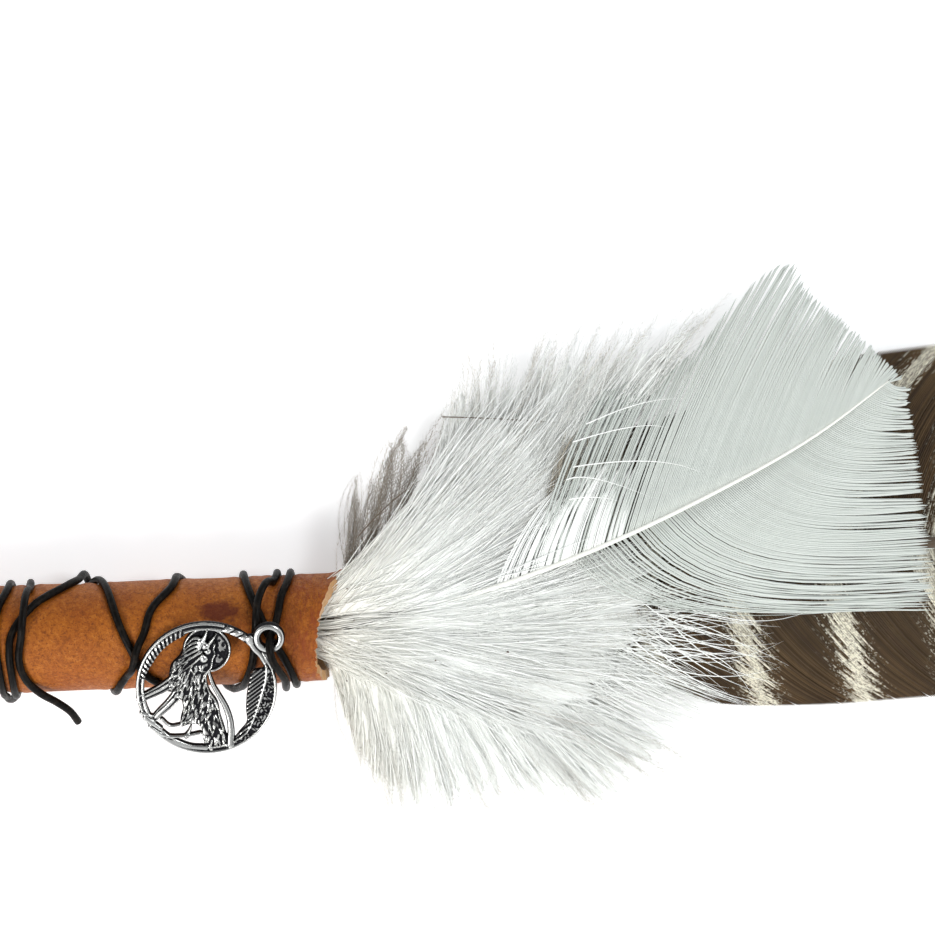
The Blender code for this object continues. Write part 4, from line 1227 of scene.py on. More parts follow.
def spacing(lines):
    """How far apart neighbouring lines are, at their roots and near their tips."""
    gaps = []
    at_root = (1, 0, 0, 0), lines[:, 1] - lines[:, 0]
    near_tip = (0.01, 0.09, 0.35, 0.55), lines[:, 3] - lines[:, 2]
    for weights, ahead in (at_root, near_tip):
        heading = unit(ahead[:, :2])
        spots = np.einsum("k,nkd->nd", np.array(weights, float), lines)[:, :2]
        step = np.gradient(spots, axis=0)
        gaps.append(np.abs(step[:, 0] * heading[:, 1] - step[:, 1] * heading[:, 0]))
    return np.stack(gaps, axis=1)


def part_into_groups(rng, lines, group, pull):
    """Pulls the tips of each group of neighbouring barbs together, which splits the vane between groups."""
    lines = lines.copy()
    start = 0
    while start < len(lines):
        count = max(3, int(group * rng.uniform(0.5, 1.6)))
        some = lines[start:start + count]
        share = pull * rng.uniform(0.3, 1.3)
        some[:, 3] += (some[:, 3].mean(axis=0) - some[:, 3]) * share
        some[:, 2] += (some[:, 2].mean(axis=0) - some[:, 2]) * share * 0.55
        start += count
    return lines


def own_numbers(rng, count, per_copy, across=None, out=None):
    """The barb attribute: place across the bars, distance out, and one random number for each barb."""
    own = np.repeat(rng.random(count), per_copy)
    zero = np.zeros(count * per_copy)
    return np.stack([zero if across is None else across, zero if out is None else out, own], axis=1)


def from_shaft(shaft, places):
    """How far along the shaft each place's nearest shaft point is, and how far away that is."""
    stations = np.linspace(0, lengths_along(shaft)[-1], 500)
    line = on_shaft(shaft, stations)[:, :2]
    along, away = np.empty(len(places)), np.empty(len(places))
    for first in range(0, len(places), 4000):
        some = places[first:first + 4000, :2]
        apart = np.linalg.norm(some[:, None] - line[None], axis=2)
        nearest = apart.argmin(axis=1)
        along[first:first + 4000] = stations[nearest]
        away[first:first + 4000] = apart[np.arange(len(some)), nearest]
    return along, away


# %% [markdown]
# ## The barred feather
# The long brown feather lies lowest. Its barbs hook together into a closed vane, so each barb is made a
# little wider than the space between barbs, and they overlap like tiles. The bars lean towards the tip, and
# most of all near the upper edge.

# %% The barred feather's vanes
BARRED_SHAFT = [
    (-32, 0, 9.3, 1.9), (-10, 0, 9.3, 2.0), (8, 0.2, 9.0, 1.9), (30, 1.0, 8.7, 1.7), (60, 3.5, 8.3, 1.5),
    (90, 7.4, 7.9, 1.3), (117, 11.3, 7.3, 1.1), (150, 14.6, 6.2, 0.9), (185, 15.4, 4.6, 0.7),
    (226.5, 13.0, 1.9, 0.4),
]
BARRED_UPPER = [
    (38, 8, 18, 7.5), (42, 10, 33, 4.5), (48, 17, 36, 4.0), (56, 27, 37, 4.0), (66, 40, 36, 4.5),
    (80, 60, 36, 4.0), (96, 82, 42, 2.5), (112, 100, 47, 1.2), (128, 118, 49.2, 0.9), (150, 140, 50, 0.9),
    (175, 165, 48, 0.9), (200, 188, 42.5, 0.9), (222, 207, 34, 0.9), (242, 221, 25, 0.9),
    (258.5, 228.5, 14.2, 0.9),
]
BARRED_LOWER = [
    (38, 6, -14, 7.0), (42, 11, -30, 2.5), (48, 20, -34, 1.2), (56, 30, -30, 1.5), (62, 38, -23, 3.0),
    (72, 56, -14, 4.0), (86, 76, -18, 3.0), (102, 94, -19, 1.2), (119, 110, -18.6, 0.9),
    (142, 132, -17.5, 0.9), (168, 157, -15.5, 0.9), (194, 183, -11.5, 0.9), (218, 206, -4.5, 0.9),
    (240, 221, 3.0, 0.9), (258.5, 228.6, 12.0, 0.9),
]
BARB_SPACING = 0.46
# Each side's barbs, where the first one starts, and how its bars lean, sweep at the edge and are shifted
BARRED_SIDES = ((BARRED_UPPER, 66.0, 0.42, 0.83, 2.3), (BARRED_LOWER, 60.0, 0.10, 0, 0))
SWEEP_FROM = 26

rng = np.random.default_rng(11)
vane_parts, vane_numbers = [], []
for side, first, lean, sweep, shift in BARRED_SIDES:
    starts = np.arange(first, 258.4, BARB_SPACING)
    lines = barb_lines(BARRED_SHAFT, side, starts)
    lines = part_into_groups(rng, lines, 22, 0.06)
    lines[:, 1:, 2] += rng.normal(0, 0.07, (len(lines), 1))
    widths = spacing(lines) * (1.35, 1.3) + 0.05
    places, triangles = bend_copies(VANE_BARB, lines, widths, 0.26, 0.25)
    places[:, 2] = np.maximum(places[:, 2], 0.15)
    along, away = from_shaft(BARRED_SHAFT, places)
    vane_parts.append((places, triangles))
    across = along - 32 - shift - lean * away - sweep * np.maximum(away - SWEEP_FROM, 0)
    vane_numbers.append(own_numbers(rng, len(starts), len(VANE_BARB[0]), across, away))
places, triangles = join(vane_parts)
barred_vanes = piece_from(
    "barred_vanes", places, triangles, BARRED, {"barb": np.concatenate(vane_numbers)}, soft=False
)
barred_shaft = make_shaft("barred_shaft", BARRED_SHAFT, 0, 259, HORN)

# %% [markdown]
# ## Down
# Down barbs carry fine barbules that don't hook together, which makes them fluffy. Packed together they are
# a soft white mass, and only their tips stand apart as spiky locks. So each fan of down is a matted sheet,
# rippled along its locks and sinking at its edge. Short soft barbs thatch it like straw on a roof, and down
# barbs with barbules reach past its edge.
# A few kinds of down barb are made, and each is bent along many lines that fan out from the mouth.

# %% Down barbs of a few kinds
DOWN_KINDS = 4
BARBULES = 46
NOMINAL_BARB = 30.0
BARBULE_LENGTH = 2.6
BARBULE_WIDTH = 0.085


def down_barb(rng):
    """A stem and its barbules: x is a share of the barb's length, y and z are millimetres."""
    stem_places, stem_triangles = FINE_STEM
    stem_places = stem_places * (1, 0.13, 0.13)
    bpy.ops.object.select_all(action="DESELECT")
    bpy.ops.mesh.primitive_cone_add(vertices=3, radius1=0.5, radius2=0, depth=1, location=(0, 0, 0.5))
    barbule, barbule_triangles = take_shape(bpy.context.object)
    step = (np.arange(BARBULES) + rng.random(BARBULES)) / BARBULES
    start = 0.25 + 0.74 * step ** 0.85
    hand = np.where(np.arange(BARBULES) % 2, 1.0, -1.0)
    opening = np.radians(rng.uniform(14, 40, BARBULES))
    length = BARBULE_LENGTH * rng.uniform(0.6, 1.2, BARBULES) * (1.05 - 0.7 * start ** 2)
    rise = rng.normal(0, 0.35, BARBULES)
    heading = np.stack([np.cos(opening), hand * np.sin(opening), rise * np.sin(opening)], axis=1)
    heading = unit(heading) * length[:, None]
    side = unit(np.cross(heading, (0, 0, 1.0)))
    over = unit(np.cross(side, heading))
    made = (
        heading[:, None] * barbule[None, :, 2:3]
        + side[:, None] * barbule[None, :, 0:1] * BARBULE_WIDTH
        + over[:, None] * barbule[None, :, 1:2] * BARBULE_WIDTH * 0.6
    )
    made[..., 0] = start[:, None] + made[..., 0] / NOMINAL_BARB
    made[..., 0] = np.clip(made[..., 0], 0, 1.05)
    faces = barbule_triangles[None] + (np.arange(BARBULES) * len(barbule))[:, None, None]
    return join([(stem_places, stem_triangles), (made.reshape(-1, 3), faces.reshape(-1, 3))])


shape_rng = np.random.default_rng(5)
DOWN_SHAPES = [down_barb(shape_rng) for kind in range(DOWN_KINDS)]
print("one down barb has", len(DOWN_SHAPES[0][1]), "triangles")

# %% Fans of down


def fan_ends(roots, tips, at):
    """The root and the tip at a share of the way along a fan's two rows."""
    roots, tips = np.array(roots, float), np.array(tips, float)
    root_knots, tip_knots = lengths_along(roots), lengths_along(tips)
    start = smooth(root_knots / root_knots[-1], roots, at[0])
    return start, smooth(tip_knots / tip_knots[-1], tips, at[1])


def fan(
    rng, roots, tips, count, locks, reach, spread=0.4, lift=0.8, curl=0.12, gather=(0.3, 0.9), bend=(0, 0)
):
    """Lines of down barbs from a row of roots to a row of tips, gathered into locks.

    roots and tips are rows of (x, y, height) and the fan sweeps along both of them together. bend turns
    each barb along its way, by so much at the first end of the fan and so much at the last.
    """
    at = np.sort(rng.random(count))
    lock = np.minimum((at * locks).astype(int), locks - 1)
    tip_at = at + ((lock + 0.5) / locks - at) * rng.uniform(*gather, count)
    start, end = fan_ends(roots, tips, (at, tip_at))
    start += rng.normal(0, spread, (count, 3))
    lock_reach = rng.uniform(0.84, 1.0, locks)[lock]
    share = (reach[0] + (reach[1] - reach[0]) * rng.random(count) ** 0.6) * lock_reach
    barb = (end - start) * share[:, None]
    length = np.linalg.norm(barb, axis=1, keepdims=True)
    end = start + barb + rng.normal(0, 0.4, (count, 3))
    end[:, 2] += rng.normal(0, lift, count)
    sway = np.stack([-barb[:, 1], barb[:, 0], np.zeros(count)], axis=1)
    turned = (bend[0] + (bend[1] - bend[0]) * at)[:, None]
    leave = barb + sway * (rng.normal(0, curl, (count, 1)) - turned)
    leave[:, 2] += np.abs(rng.normal(0.12, 0.06, count)) * length[:, 0]
    arrive = barb + sway * (rng.normal(0, curl * 1.3, (count, 1)) + turned)
    arrive[:, 2] -= 0.15 * length[:, 0]
    return lines_between(start, end, leave, arrive)


# %% Thatch and matted down


def thatch(rng, lines, shortest=0.3, longest=0.6):
    """Cuts full lines to shorter ones that begin and end all over the mass, like straw on a roof."""
    end = 0.25 + 0.75 * rng.random(len(lines)) ** 0.6
    begin = np.clip(end - rng.uniform(shortest, longest, len(lines)), 0, 1)
    cut = cut_lines(lines, begin, end)
    ahead = cut[:, 3] - cut[:, 0]
    aside = np.stack([-ahead[:, 1], ahead[:, 0], 0 * ahead[:, 0]], axis=1)
    aside *= rng.normal(0, 0.08, (len(cut), 1))
    cut[:, 2] += aside * 0.5
    cut[:, 3] += aside
    cut[:, 0, 2] -= 0.3
    cut[:, 3, 2] += np.abs(rng.normal(0, 0.16, len(cut)))
    return cut


CUSHION_CELLS = (180, 18)


def cushion(rng, roots, tips, locks, reach, bend=(0, 0), sink=0.5, fingers=0.16):
    """A soft sheet of matted down under a fan's barbs, which shows between them. Its edge sinks."""
    bpy.ops.object.select_all(action="DESELECT")
    bpy.ops.mesh.primitive_grid_add(
        x_subdivisions=CUSHION_CELLS[0], y_subdivisions=CUSHION_CELLS[1], size=1.0
    )
    sheet = bpy.context.object
    flat = places_of(sheet)
    at, out = flat[:, 0] + 0.5, flat[:, 1] + 0.5
    column = np.rint(at * CUSHION_CELLS[0]).astype(int)
    start, end = fan_ends(roots, tips, (at, at))
    barb = end - start
    length = np.linalg.norm(barb, axis=1)
    ragged = rng.uniform(-0.05, 0.05, CUSHION_CELLS[0] + 1)[column]
    share = reach * out * (1 - fingers + fingers * np.abs(np.sin(np.pi * locks * at)) + ragged)
    sway = np.stack([-barb[:, 1], barb[:, 0], np.zeros(len(at))], axis=1)
    turned = bend[0] + (bend[1] - bend[0]) * at
    places = start + barb * share[:, None] - sway * (turned * share * (1 - share))[:, None]
    places[:, 2] += length * share * (1 - share) * 0.13
    streaks = 0.02 * rng.normal(0, 1, CUSHION_CELLS[0] + 1)[column]
    for waves, tall in ((9, 0.11), (14, 0.08), (23, 0.05), (37, 0.03)):
        phase, drift = rng.uniform(0, 6.3), rng.uniform(-3, 3)
        streaks += tall * np.sin(2 * np.pi * waves * at + phase + drift * out)
    places[:, 2] += streaks * np.clip(share * 4, 0, 1) - sink * out ** 4
    put_places(sheet, places)
    skin = sheet.modifiers.new("matted down", "SOLIDIFY")
    skin.thickness = 0.4
    skin.offset = 0
    only(sheet)
    bpy.ops.object.modifier_apply(modifier=skin.name)
    places, triangles = take_shape(sheet)
    own = np.column_stack([np.zeros((len(places), 2)), rng.random(CUSHION_CELLS[0] + 1)[np.tile(column, 2)]])
    return places, triangles, own


# %% Soft and wispy barbs


def soft_mass(rng, lines, wide, thick=0.13, tilt=0.15):
    """Soft tapered barbs along the lines."""
    count = len(lines)
    width = wide * rng.uniform(0.5, 1.3, (count, 1)) * (1, 1)
    places, triangles = bend_copies(SOFT_BARB, lines, width, thick, rng.normal(0, tilt, count))
    return places, triangles, own_numbers(rng, count, len(SOFT_BARB[0]))


def wispy(rng, lines, scale=1.0):
    """Down barbs with barbules along the lines."""
    kinds = rng.integers(0, DOWN_KINDS, len(lines))
    parts, numbers = [], []
    for kind, shape in enumerate(DOWN_SHAPES):
        some = lines[kinds == kind]
        full = np.clip(np.linalg.norm(some[:, 3] - some[:, 0], axis=1) / NOMINAL_BARB, 0.45, 1.1) * scale
        width = np.stack([full, full], axis=1)
        parts.append(bend_copies(shape, some, width, full, rng.normal(0, 0.3, len(some))))
        out = np.tile(np.clip(shape[0][:, 0], 0, 1), len(some))
        numbers.append(own_numbers(rng, len(some), len(shape[0]), out=out))
    places, triangles = join(parts)
    return places, triangles, np.concatenate(numbers)


def down_piece(name, finish, *parts, floor_at=0.3):
    places, triangles = join([part[:2] for part in parts])
    places[:, 2] = np.maximum(places[:, 2], floor_at)
    return piece_from(name, places, triangles, finish, {"barb": np.concatenate([part[2] for part in parts])})


# %% The barred feather's own down
rng = np.random.default_rng(21)
BROWN_ROOTS_UP = [(4.5, 5.5, 13.5), (6, 5.5, 12.5), (12, 5, 11)]
BROWN_TIPS_UP = [
    (7.5, 24, 12), (9.5, 34, 10.5), (14, 34, 9.5), (17, 40, 9), (21, 37, 8.5), (25, 41, 8), (29, 42, 8),
]
BROWN_ROOTS_DOWN = [(1, -6, 11), (7, -4, 9), (20, -1, 8.5), (36, 0, 8)]
BROWN_TIPS_DOWN = [(6, -24, 6), (9.5, -31, 5), (14.8, -35, 4), (22, -37, 3.5), (40, -35, 3), (62, -30, 3)]
up_lines = fan(rng, BROWN_ROOTS_UP, BROWN_TIPS_UP, 115, 7, (0.7, 1.0), lift=0.7, curl=0.32, gather=(0.8, 1.0))
barred_down = down_piece("barred_down", BROWN_DOWN, wispy(rng, up_lines, 1.1))
low_lines = fan(rng, BROWN_ROOTS_DOWN, BROWN_TIPS_DOWN, 170, 12, (0.7, 1.0), lift=0.6, curl=0.15)
GAP_ROOTS, GAP_TIPS = [(41, 10, 15.0), (56, 14, 14.5)], [(48, 35, 14.2), (54, 39, 13.2), (61, 39, 12.6)]
gap_lines = fan(rng, GAP_ROOTS, GAP_TIPS, 90, 6, (0.6, 1.0), lift=0.3)
gap_mass = thatch(rng, fan(rng, GAP_ROOTS, GAP_TIPS, 300, 8, (0.7, 1.0), lift=0.2, gather=(0, 0.3)))
barred_grey_down = down_piece(
    "barred_grey_down", GREY_DOWN,
    wispy(rng, low_lines, 1.1), wispy(rng, gap_lines), soft_mass(rng, gap_mass, 0.4),
)

# %% [markdown]
# ## The two white plumes
# Each plume is nearly all down. The upper one fans out above the handle's mouth and the lower one below it.

# %% The plumes
UPPER_SHAFT = [
    (-26, 3.2, 12.4, 0.8), (-6, 3.2, 12.6, 0.8), (6, 5.0, 13.2, 0.8), (20, 12.0, 13.6, 0.7),
    (36, 22.0, 13.0, 0.55), (52, 31.5, 11.4, 0.4),
]
UPPER_ROOTS = [(4, 5.4, 13.5), (6, 5.6, 14.5), (11, 6.5, 15), (22, 10, 15), (36, 15, 14.5), (46, 19, 13.5)]
UPPER_TIPS = [
    (20, 21, 12), (24, 31, 9.5), (26, 39, 8.5), (29, 48, 7.5), (34, 49.5, 7), (41, 49.5, 7), (50, 55, 7),
    (59, 54, 7.5), (67, 55, 8), (73, 55, 8.5), (79.5, 60, 9),
]
UPPER_BEND = (0.35, -0.12)
LOWER_SHAFT = [
    (-26, -3.2, 12.4, 0.8), (-6, -3.2, 12.6, 0.8), (6, -5.0, 12.8, 0.8), (20, -9.4, 12.6, 0.7),
    (36, -13.6, 11.2, 0.55), (54, -17.0, 9.2, 0.4),
]
LOWER_ROOTS = [(0.5, -5.8, 12), (3, -6, 13.5), (10, -6, 14), (20, -7, 14), (32, -8, 13.5), (38, -10, 13)]
LOWER_TIPS = [
    (5, -17, 9.5), (7, -27, 7.5), (15, -37, 6), (23, -39, 5.5), (29.5, -39.5, 5), (36, -38, 4.5),
    (46, -38.5, 4), (57, -38, 4), (63, -34, 4.5), (70, -27, 5),
]
SPARSE_ROOTS = [(38, -10, 13), (44, -3, 13)]
SPARSE_TIPS = [(66, -28, 5), (73, -25, 5), (80, -22, 5.5), (84, -19, 6)]
LOWER_BEND = (-0.20, 0.10)
PLUME_LOCKS = 24

plumes = []
for name, seed, roots, tips, bend in (
    ("upper_plume_down", 31, UPPER_ROOTS, UPPER_TIPS, UPPER_BEND),
    ("lower_plume_down", 32, LOWER_ROOTS, LOWER_TIPS, LOWER_BEND),
):
    rng = np.random.default_rng(seed)
    mass_lines = thatch(rng, fan(rng, roots, tips, 1800, PLUME_LOCKS, (0.85, 1.08), lift=0.15, bend=bend))
    tip_lines = fan(rng, roots, tips, 280, PLUME_LOCKS, (0.78, 1.16), lift=0.5, bend=bend)
    matted = cushion(rng, roots, tips, PLUME_LOCKS, 0.86, bend=bend)
    if name == "lower_plume_down":
        sparse = fan(rng, SPARSE_ROOTS, SPARSE_TIPS, 170, 9, (0.7, 1.05), lift=0.6)
        mass_lines = np.concatenate([mass_lines, sparse])
    thatched = soft_mass(rng, mass_lines, 0.27)
    plumes.append(down_piece(name, WHITE_DOWN, matted, thatched, wispy(rng, tip_lines)))
upper_down, lower_down = plumes
upper_shaft = make_shaft("upper_plume_shaft", UPPER_SHAFT, 0, 88, IVORY, 6)
lower_shaft = make_shaft("lower_plume_shaft", LOWER_SHAFT, 0, 84, IVORY, 6)

# %% [markdown]
# ## The white feather on top
# Its upper vane is closed. Its lower vane is combed: its barbs leave the shaft steeply, bend round and end
# level at the right edge, a little apart, so that the brown feather shows through.

# %% The white feather's vanes
FRONT_SHAFT = [
    (-28, -0.3, 15.4, 0.9), (-8, -0.2, 15.6, 0.8), (5, 0.8, 16.6, 0.7), (13.4, 1.8, 18.0, 0.55),
    (32, 6.0, 20.4, 0.5), (54, 13.3, 20.0, 0.45), (73, 21.3, 18.4, 0.38), (97, 33.6, 15.2, 0.26),
    (109.5, 42.2, 13.2, 0.16),
]
FRONT_UPPER = [
    (60, 40, 37, 12.0), (70, 55, 43, 12.0), (80, 65, 45.5, 11.5), (88, 74.5, 51, 11.0), (93, 84, 61, 10.0),
    (97, 89.9, 65.5, 9.5), (108, 95, 60.6, 10.5), (120, 100.5, 55.4, 11.2), (130, 104.8, 51.0, 11.8),
    (140, 109.0, 46.8, 12.3), (146, 112.0, 43.6, 12.6),
]
FRONT_LOWER = [
    (76, 98, -0.3, 11.0), (84, 113, -0.2, 11.2), (90, 115.6, 1.2, 11.2), (100, 116.2, 7.5, 11.3),
    (110, 116.1, 14.5, 11.6), (120, 115.4, 21.5, 11.9), (130, 114.5, 29.0, 12.2), (140, 113.7, 35.5, 12.4),
    (147.6, 113.0, 41.0, 12.5),
]

rng = np.random.default_rng(41)
upper_starts = np.arange(70.0, 147.6, 0.43)
loose = np.interp(upper_starts, (70, 84, 98), (1.0, 0.7, 0.0))
upper_starts = np.sort(upper_starts + loose * rng.normal(0, 0.3, len(upper_starts)))
upper_vane = barb_lines(FRONT_SHAFT, FRONT_UPPER, upper_starts, bow=0.06)
upper_vane[:, 2, :2] += rng.normal(0, 0.7, (len(upper_vane), 2)) * loose[:, None]
upper_vane = part_into_groups(rng, upper_vane, 12, 0.03)
upper_vane[:, 3, :2] += rng.normal(0, 0.25, (len(upper_vane), 2))
upper_widths = spacing(upper_vane) * (1.0, 1.2) + 0.04
upper_widths *= np.interp(upper_starts, (70, 84, 95), (0.62, 0.85, 1.0))[:, None]
upper_mesh = bend_copies(VANE_BARB, upper_vane, upper_widths, 0.17, -0.12)

lower_starts = np.arange(78.0, 147.6, 0.40)
loose = np.interp(lower_starts, (78, 90, 104), (1.0, 0.7, 0.0))
lower_starts = np.sort(lower_starts + loose * rng.normal(0, 0.3, len(lower_starts)))
lower_vane = barb_lines(FRONT_SHAFT, FRONT_LOWER, lower_starts, bow=0.0)
roots, tips = lower_vane[:, 0], lower_vane[:, 3]
length = np.linalg.norm(tips - roots, axis=1)
steep = np.radians(np.interp(lower_starts, (76, 90, 112, 147), (-50, -55, -48, -35)))
first = length * np.interp(lower_starts, (76, 112, 147), (0.30, 0.34, 0.3)) * 3
leave = np.stack([np.cos(steep) * first, np.sin(steep) * first, -0.02 * first], axis=1)
arrive = np.stack([length * 1.3, 0.02 * length, -0.12 * length], axis=1)
lower_vane = lines_between(roots, tips, leave, arrive)
lower_vane = part_into_groups(rng, lower_vane, 5, 0.15)
lower_vane[:, 3, :2] += rng.normal(0, 0.35, (len(lower_vane), 2)) * (1 + 3 * loose[:, None])
lower_vane[:, 2, :2] += rng.normal(0, 0.8, (len(lower_vane), 2)) * loose[:, None]
lower_widths = spacing(lower_vane) * (1.04, 1.12) + 0.03
lower_widths *= np.interp(lower_starts, (78, 88, 96, 104), (0.3, 0.6, 0.9, 1.0))[:, None]
lower_widths *= rng.uniform(0.88, 1.1, (len(lower_vane), 1))
lower_mesh = bend_copies(VANE_BARB, lower_vane, lower_widths, 0.16, 0.1)
places, triangles = join([upper_mesh, lower_mesh])
count = len(upper_vane) + len(lower_vane)
front_vanes = piece_from(
    "front_vanes", places, triangles, WHITE_VANE,
    {"barb": own_numbers(rng, count, len(VANE_BARB[0]))}, soft=False,
)
front_shaft = make_shaft("front_shaft", FRONT_SHAFT, 0, 147.5, IVORY, 10)

# %% The white feather's down
rng = np.random.default_rng(42)
FRONT_ROOTS_UP = [(-4, 4.2, 16.0), (-3, 3, 17.0), (4, 2.5, 18.2), (14, 2.5, 18.9)]
FRONT_TIPS_UP = [
    (19, 19, 14.5), (25, 28, 13.5), (30, 36.5, 12.5), (35, 41, 12.5), (41, 41, 13), (47, 36, 14),
    (49.5, 30, 15), (50.5, 24, 16), (50, 18, 17.5), (49, 14, 18.5), (46, 10.6, 18.9),
]
FRONT_ROOTS_LOW = [(-3, -4.2, 15.5), (-3, -3, 16.5), (4, -1.5, 18), (14, 1.7, 18.9)]
FRONT_TIPS_LOW = [
    (14, -11.5, 14), (26, -16, 13.5), (38, -20.5, 12.5), (48, -22, 12), (55, -17, 12.2), (60, -10, 12.5),
    (65, -3, 13.2), (67, 5, 15), (66, 12, 16.8), (59, 15.1, 18.4),
]
OVER_ROOTS, OVER_TIPS = [(-5, -4, 16.3), (-5, 4, 16.3)], [(26, -9, 18.2), (30, 2, 20.2), (27, 15, 18.4)]
UP_BEND, LOW_BEND = (0.10, 0.11), (-0.05, 0.11)
matted_up = cushion(rng, FRONT_ROOTS_UP, FRONT_TIPS_UP, 14, 0.92, bend=UP_BEND, sink=2.6, fingers=0.04)
matted_low = cushion(rng, FRONT_ROOTS_LOW, FRONT_TIPS_LOW, 14, 0.92, bend=LOW_BEND, sink=2.4, fingers=0.04)
mass_lines = np.concatenate([
    thatch(rng, fan(rng, FRONT_ROOTS_UP, FRONT_TIPS_UP, 950, 14, (0.85, 1.3), lift=0.15, bend=UP_BEND)),
    thatch(rng, fan(rng, FRONT_ROOTS_LOW, FRONT_TIPS_LOW, 1050, 14, (0.85, 1.3), lift=0.15, bend=LOW_BEND)),
    thatch(rng, fan(rng, OVER_ROOTS, OVER_TIPS, 300, 8, (0.5, 1.1), lift=0.2)),
])
wisps = np.concatenate([
    fan(rng, FRONT_ROOTS_UP, FRONT_TIPS_UP, 90, 14, (0.6, 1.1), lift=0.5, bend=UP_BEND),
    fan(rng, FRONT_ROOTS_LOW, FRONT_TIPS_LOW, 130, 14, (0.7, 1.15), lift=0.5, bend=LOW_BEND),
])
front_down = down_piece(
    "front_down", WHITE_DOWN, matted_up, matted_low, soft_mass(rng, mass_lines, 0.26), wispy(rng, wisps)
)

# %% [markdown]
# ## Loose barbs
# Long single barbs have come away from the white feather: some arc over its upper vane, some cross the
# brown feather in a loose lattice, and a short comb of them stands along the shaft.

# %% Loose barbs
ARCS = [
    [(49.3, 33.2, 15.0), (60.4, 35.6, 15.5), (67.2, 35.2, 15.0)],
    [(49.1, 28.5, 15.5), (63.7, 29.0, 16.5), (73.3, 26.4, 17.0)],
    [(47.8, 26.1, 16.0), (53.7, 26.0, 16.5), (64.0, 22.0, 18.0)],
    [(48.1, 22.4, 17.0), (53, 22.6, 17.5), (57.5, 21.7, 18.0)],
    [(52.0, 36.5, 14.0), (62.5, 40.0, 14.0), (70.5, 40.5, 13.5)],
    [(61.1, 5.6, 15.5), (79.8, -1.8, 12.5), (95.1, 0.4, 11.8)],
    [(56.0, 8.0, 16.0), (72.0, 0.0, 13.0), (84.0, -2.5, 12.0)],
    [(58.0, 6.0, 15.5), (70.0, -3.0, 13.0), (86.0, -4.5, 12.0)],
]
LATTICE = 92

rng = np.random.default_rng(51)
arc_lines = []
for start, through, end in np.array(ARCS) + (0, 0, 2.2):
    control = through * 2 - (start + end) / 2
    arc_lines.append([start, start + (control - start) * 2 / 3, end + (control - end) * 2 / 3, end])
comb_starts = np.sort(rng.uniform(62, 88, 110))
comb = barb_lines(FRONT_SHAFT, [(60, 44, 24, 17), (75, 55, 29, 17), (92, 70, 35, 15)], comb_starts, bow=0.10)
lattice_roots = np.stack(
    [rng.uniform(46, 66, LATTICE), rng.uniform(-9, 4, LATTICE), rng.uniform(13, 14.5, LATTICE)], axis=1
)
heading = np.radians(rng.uniform(-38, 4, LATTICE))
reach = rng.uniform(14, 27, LATTICE)
forward = np.stack([reach * np.cos(heading), reach * np.sin(heading), -3.0 - 0 * reach], axis=1)
bend = np.stack([-np.sin(heading), np.cos(heading), 0 * heading], axis=1)
bend *= (reach * rng.normal(0, 0.35, LATTICE))[:, None]
lattice = lines_between(lattice_roots, lattice_roots + forward, forward - bend, forward + bend)
loose_lines = np.concatenate([np.array(arc_lines), comb, lattice])
places, triangles = bend_copies(LOOSE_BARB, loose_lines, (0.26, 0.22), 0.18)
loose_barbs = piece_from(
    "front_loose_barbs", places, triangles, WHITE_DOWN,
    {"barb": own_numbers(rng, len(loose_lines), len(LOOSE_BARB[0]))}, soft=False,
)

dark_lines = np.array([
    [(24.8, 39.0, 11.6), (33, 38.6, 11.9), (41, 37.6, 12.2), (49.4, 36.8, 12.4)],
    [(8.0, 17.0, 15), (13.0, 22.5, 15), (19.0, 27.5, 14.5), (25.7, 29.6, 14)],
])
places, triangles = bend_copies(LOOSE_BARB, dark_lines, (0.26, 0.24), 0.2)
dark_barbs = piece_from(
    "barred_loose_barbs", places, triangles, HORN,
    {"barb": own_numbers(rng, 2, len(LOOSE_BARB[0]))}, soft=False,
)

# %% [markdown]
# ## Specks of dirt
# A few dark crumbs lie on the down, as in the photo. Each one sits on whatever is highest there.

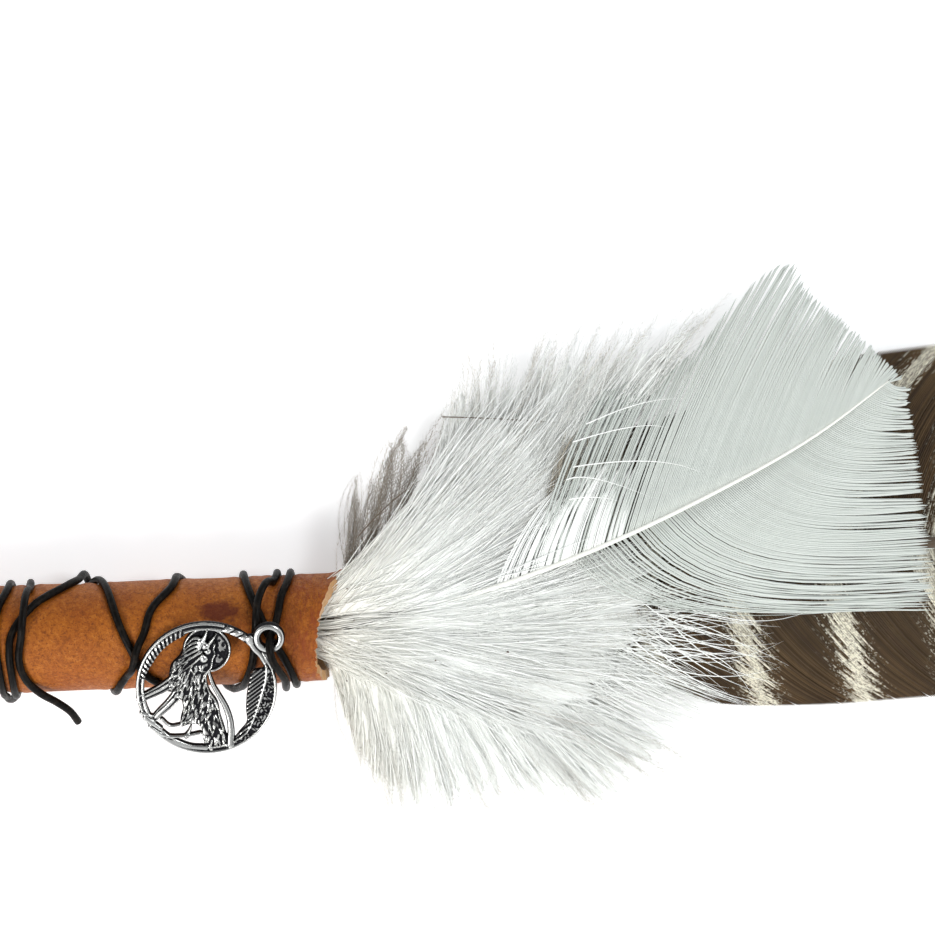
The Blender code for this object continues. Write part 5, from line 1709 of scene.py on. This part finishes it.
# %% Specks
SPECKS = [
    (5.5, 7.2, 0.35), (6.6, 1.2, 0.3), (12.3, -9.1, 0.4), (4.7, -10.4, 0.35), (35.4, -6.0, 0.5),
    (37.5, -4.1, 0.35), (21.7, -7.0, 0.3), (8.3, -8.2, 0.25),
]


def dirt_finish():
    material, tree, shader = plain_finish("dirt", 0.9, specular=0.2)
    crumbs = noise(tree, object_places(tree), 4000.0, 2.0)
    tree.links.new(mixed(tree, crumbs, (0.05, 0.03, 0.02), (0.15, 0.09, 0.05)), shader.inputs["Base Color"])
    return material


under = np.concatenate([places_of(piece) for piece in (upper_down, lower_down, front_down)])
bpy.ops.object.select_all(action="DESELECT")
bpy.ops.mesh.primitive_ico_sphere_add(subdivisions=2, radius=0.5)
speck_shape = take_shape(bpy.context.object)
speck_parts = []
rng = np.random.default_rng(61)
for x, y, size in SPECKS:
    spot = world([x, y, 0])
    near = np.hypot(*(under[:, :2] - spot[:2]).T) < 0.5 * MM
    top = (under[near, 2].max() - ZERO[2]) / MM if near.any() else 14.0
    crumb = speck_shape[0] * (1 + rng.normal(0, 0.12, (len(speck_shape[0]), 1))) * size * (1, 0.8, 0.6)
    speck_parts.append((crumb + (x, y, top), speck_shape[1]))
places, triangles = join(speck_parts)
specks = piece_from("dirt_specks", places, triangles, dirt_finish())

# %% [markdown]
# ## What each piece stands for
# The imported model has one node for each feather. Its shaft, vanes and down are shown in place of that node,
# which is hidden.

# %% Hiding the imported feathers' nodes
for piece, cad_node, slot in (
    (barred_vanes, "barred_feather", "barred_brown"), (barred_shaft, "barred_feather", "barred_brown"),
    (barred_down, "barred_feather", "barred_brown"), (barred_grey_down, "barred_feather", "barred_brown"),
    (dark_barbs, "barred_feather", "barred_brown"), (upper_down, "white_plume_upper", "white_down"),
    (upper_shaft, "white_plume_upper", "white_down"), (lower_down, "white_plume_lower", "white_down"),
    (lower_shaft, "white_plume_lower", "white_down"), (front_vanes, "white_feather_front", "white_vane"),
    (front_shaft, "white_feather_front", "white_vane"), (front_down, "white_feather_front", "white_vane"),
    (loose_barbs, "white_feather_front", "white_vane"),
):
    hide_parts(cad_node)

# %% Finish
print("CAD box", np.round(cad_box, 4).tolist())
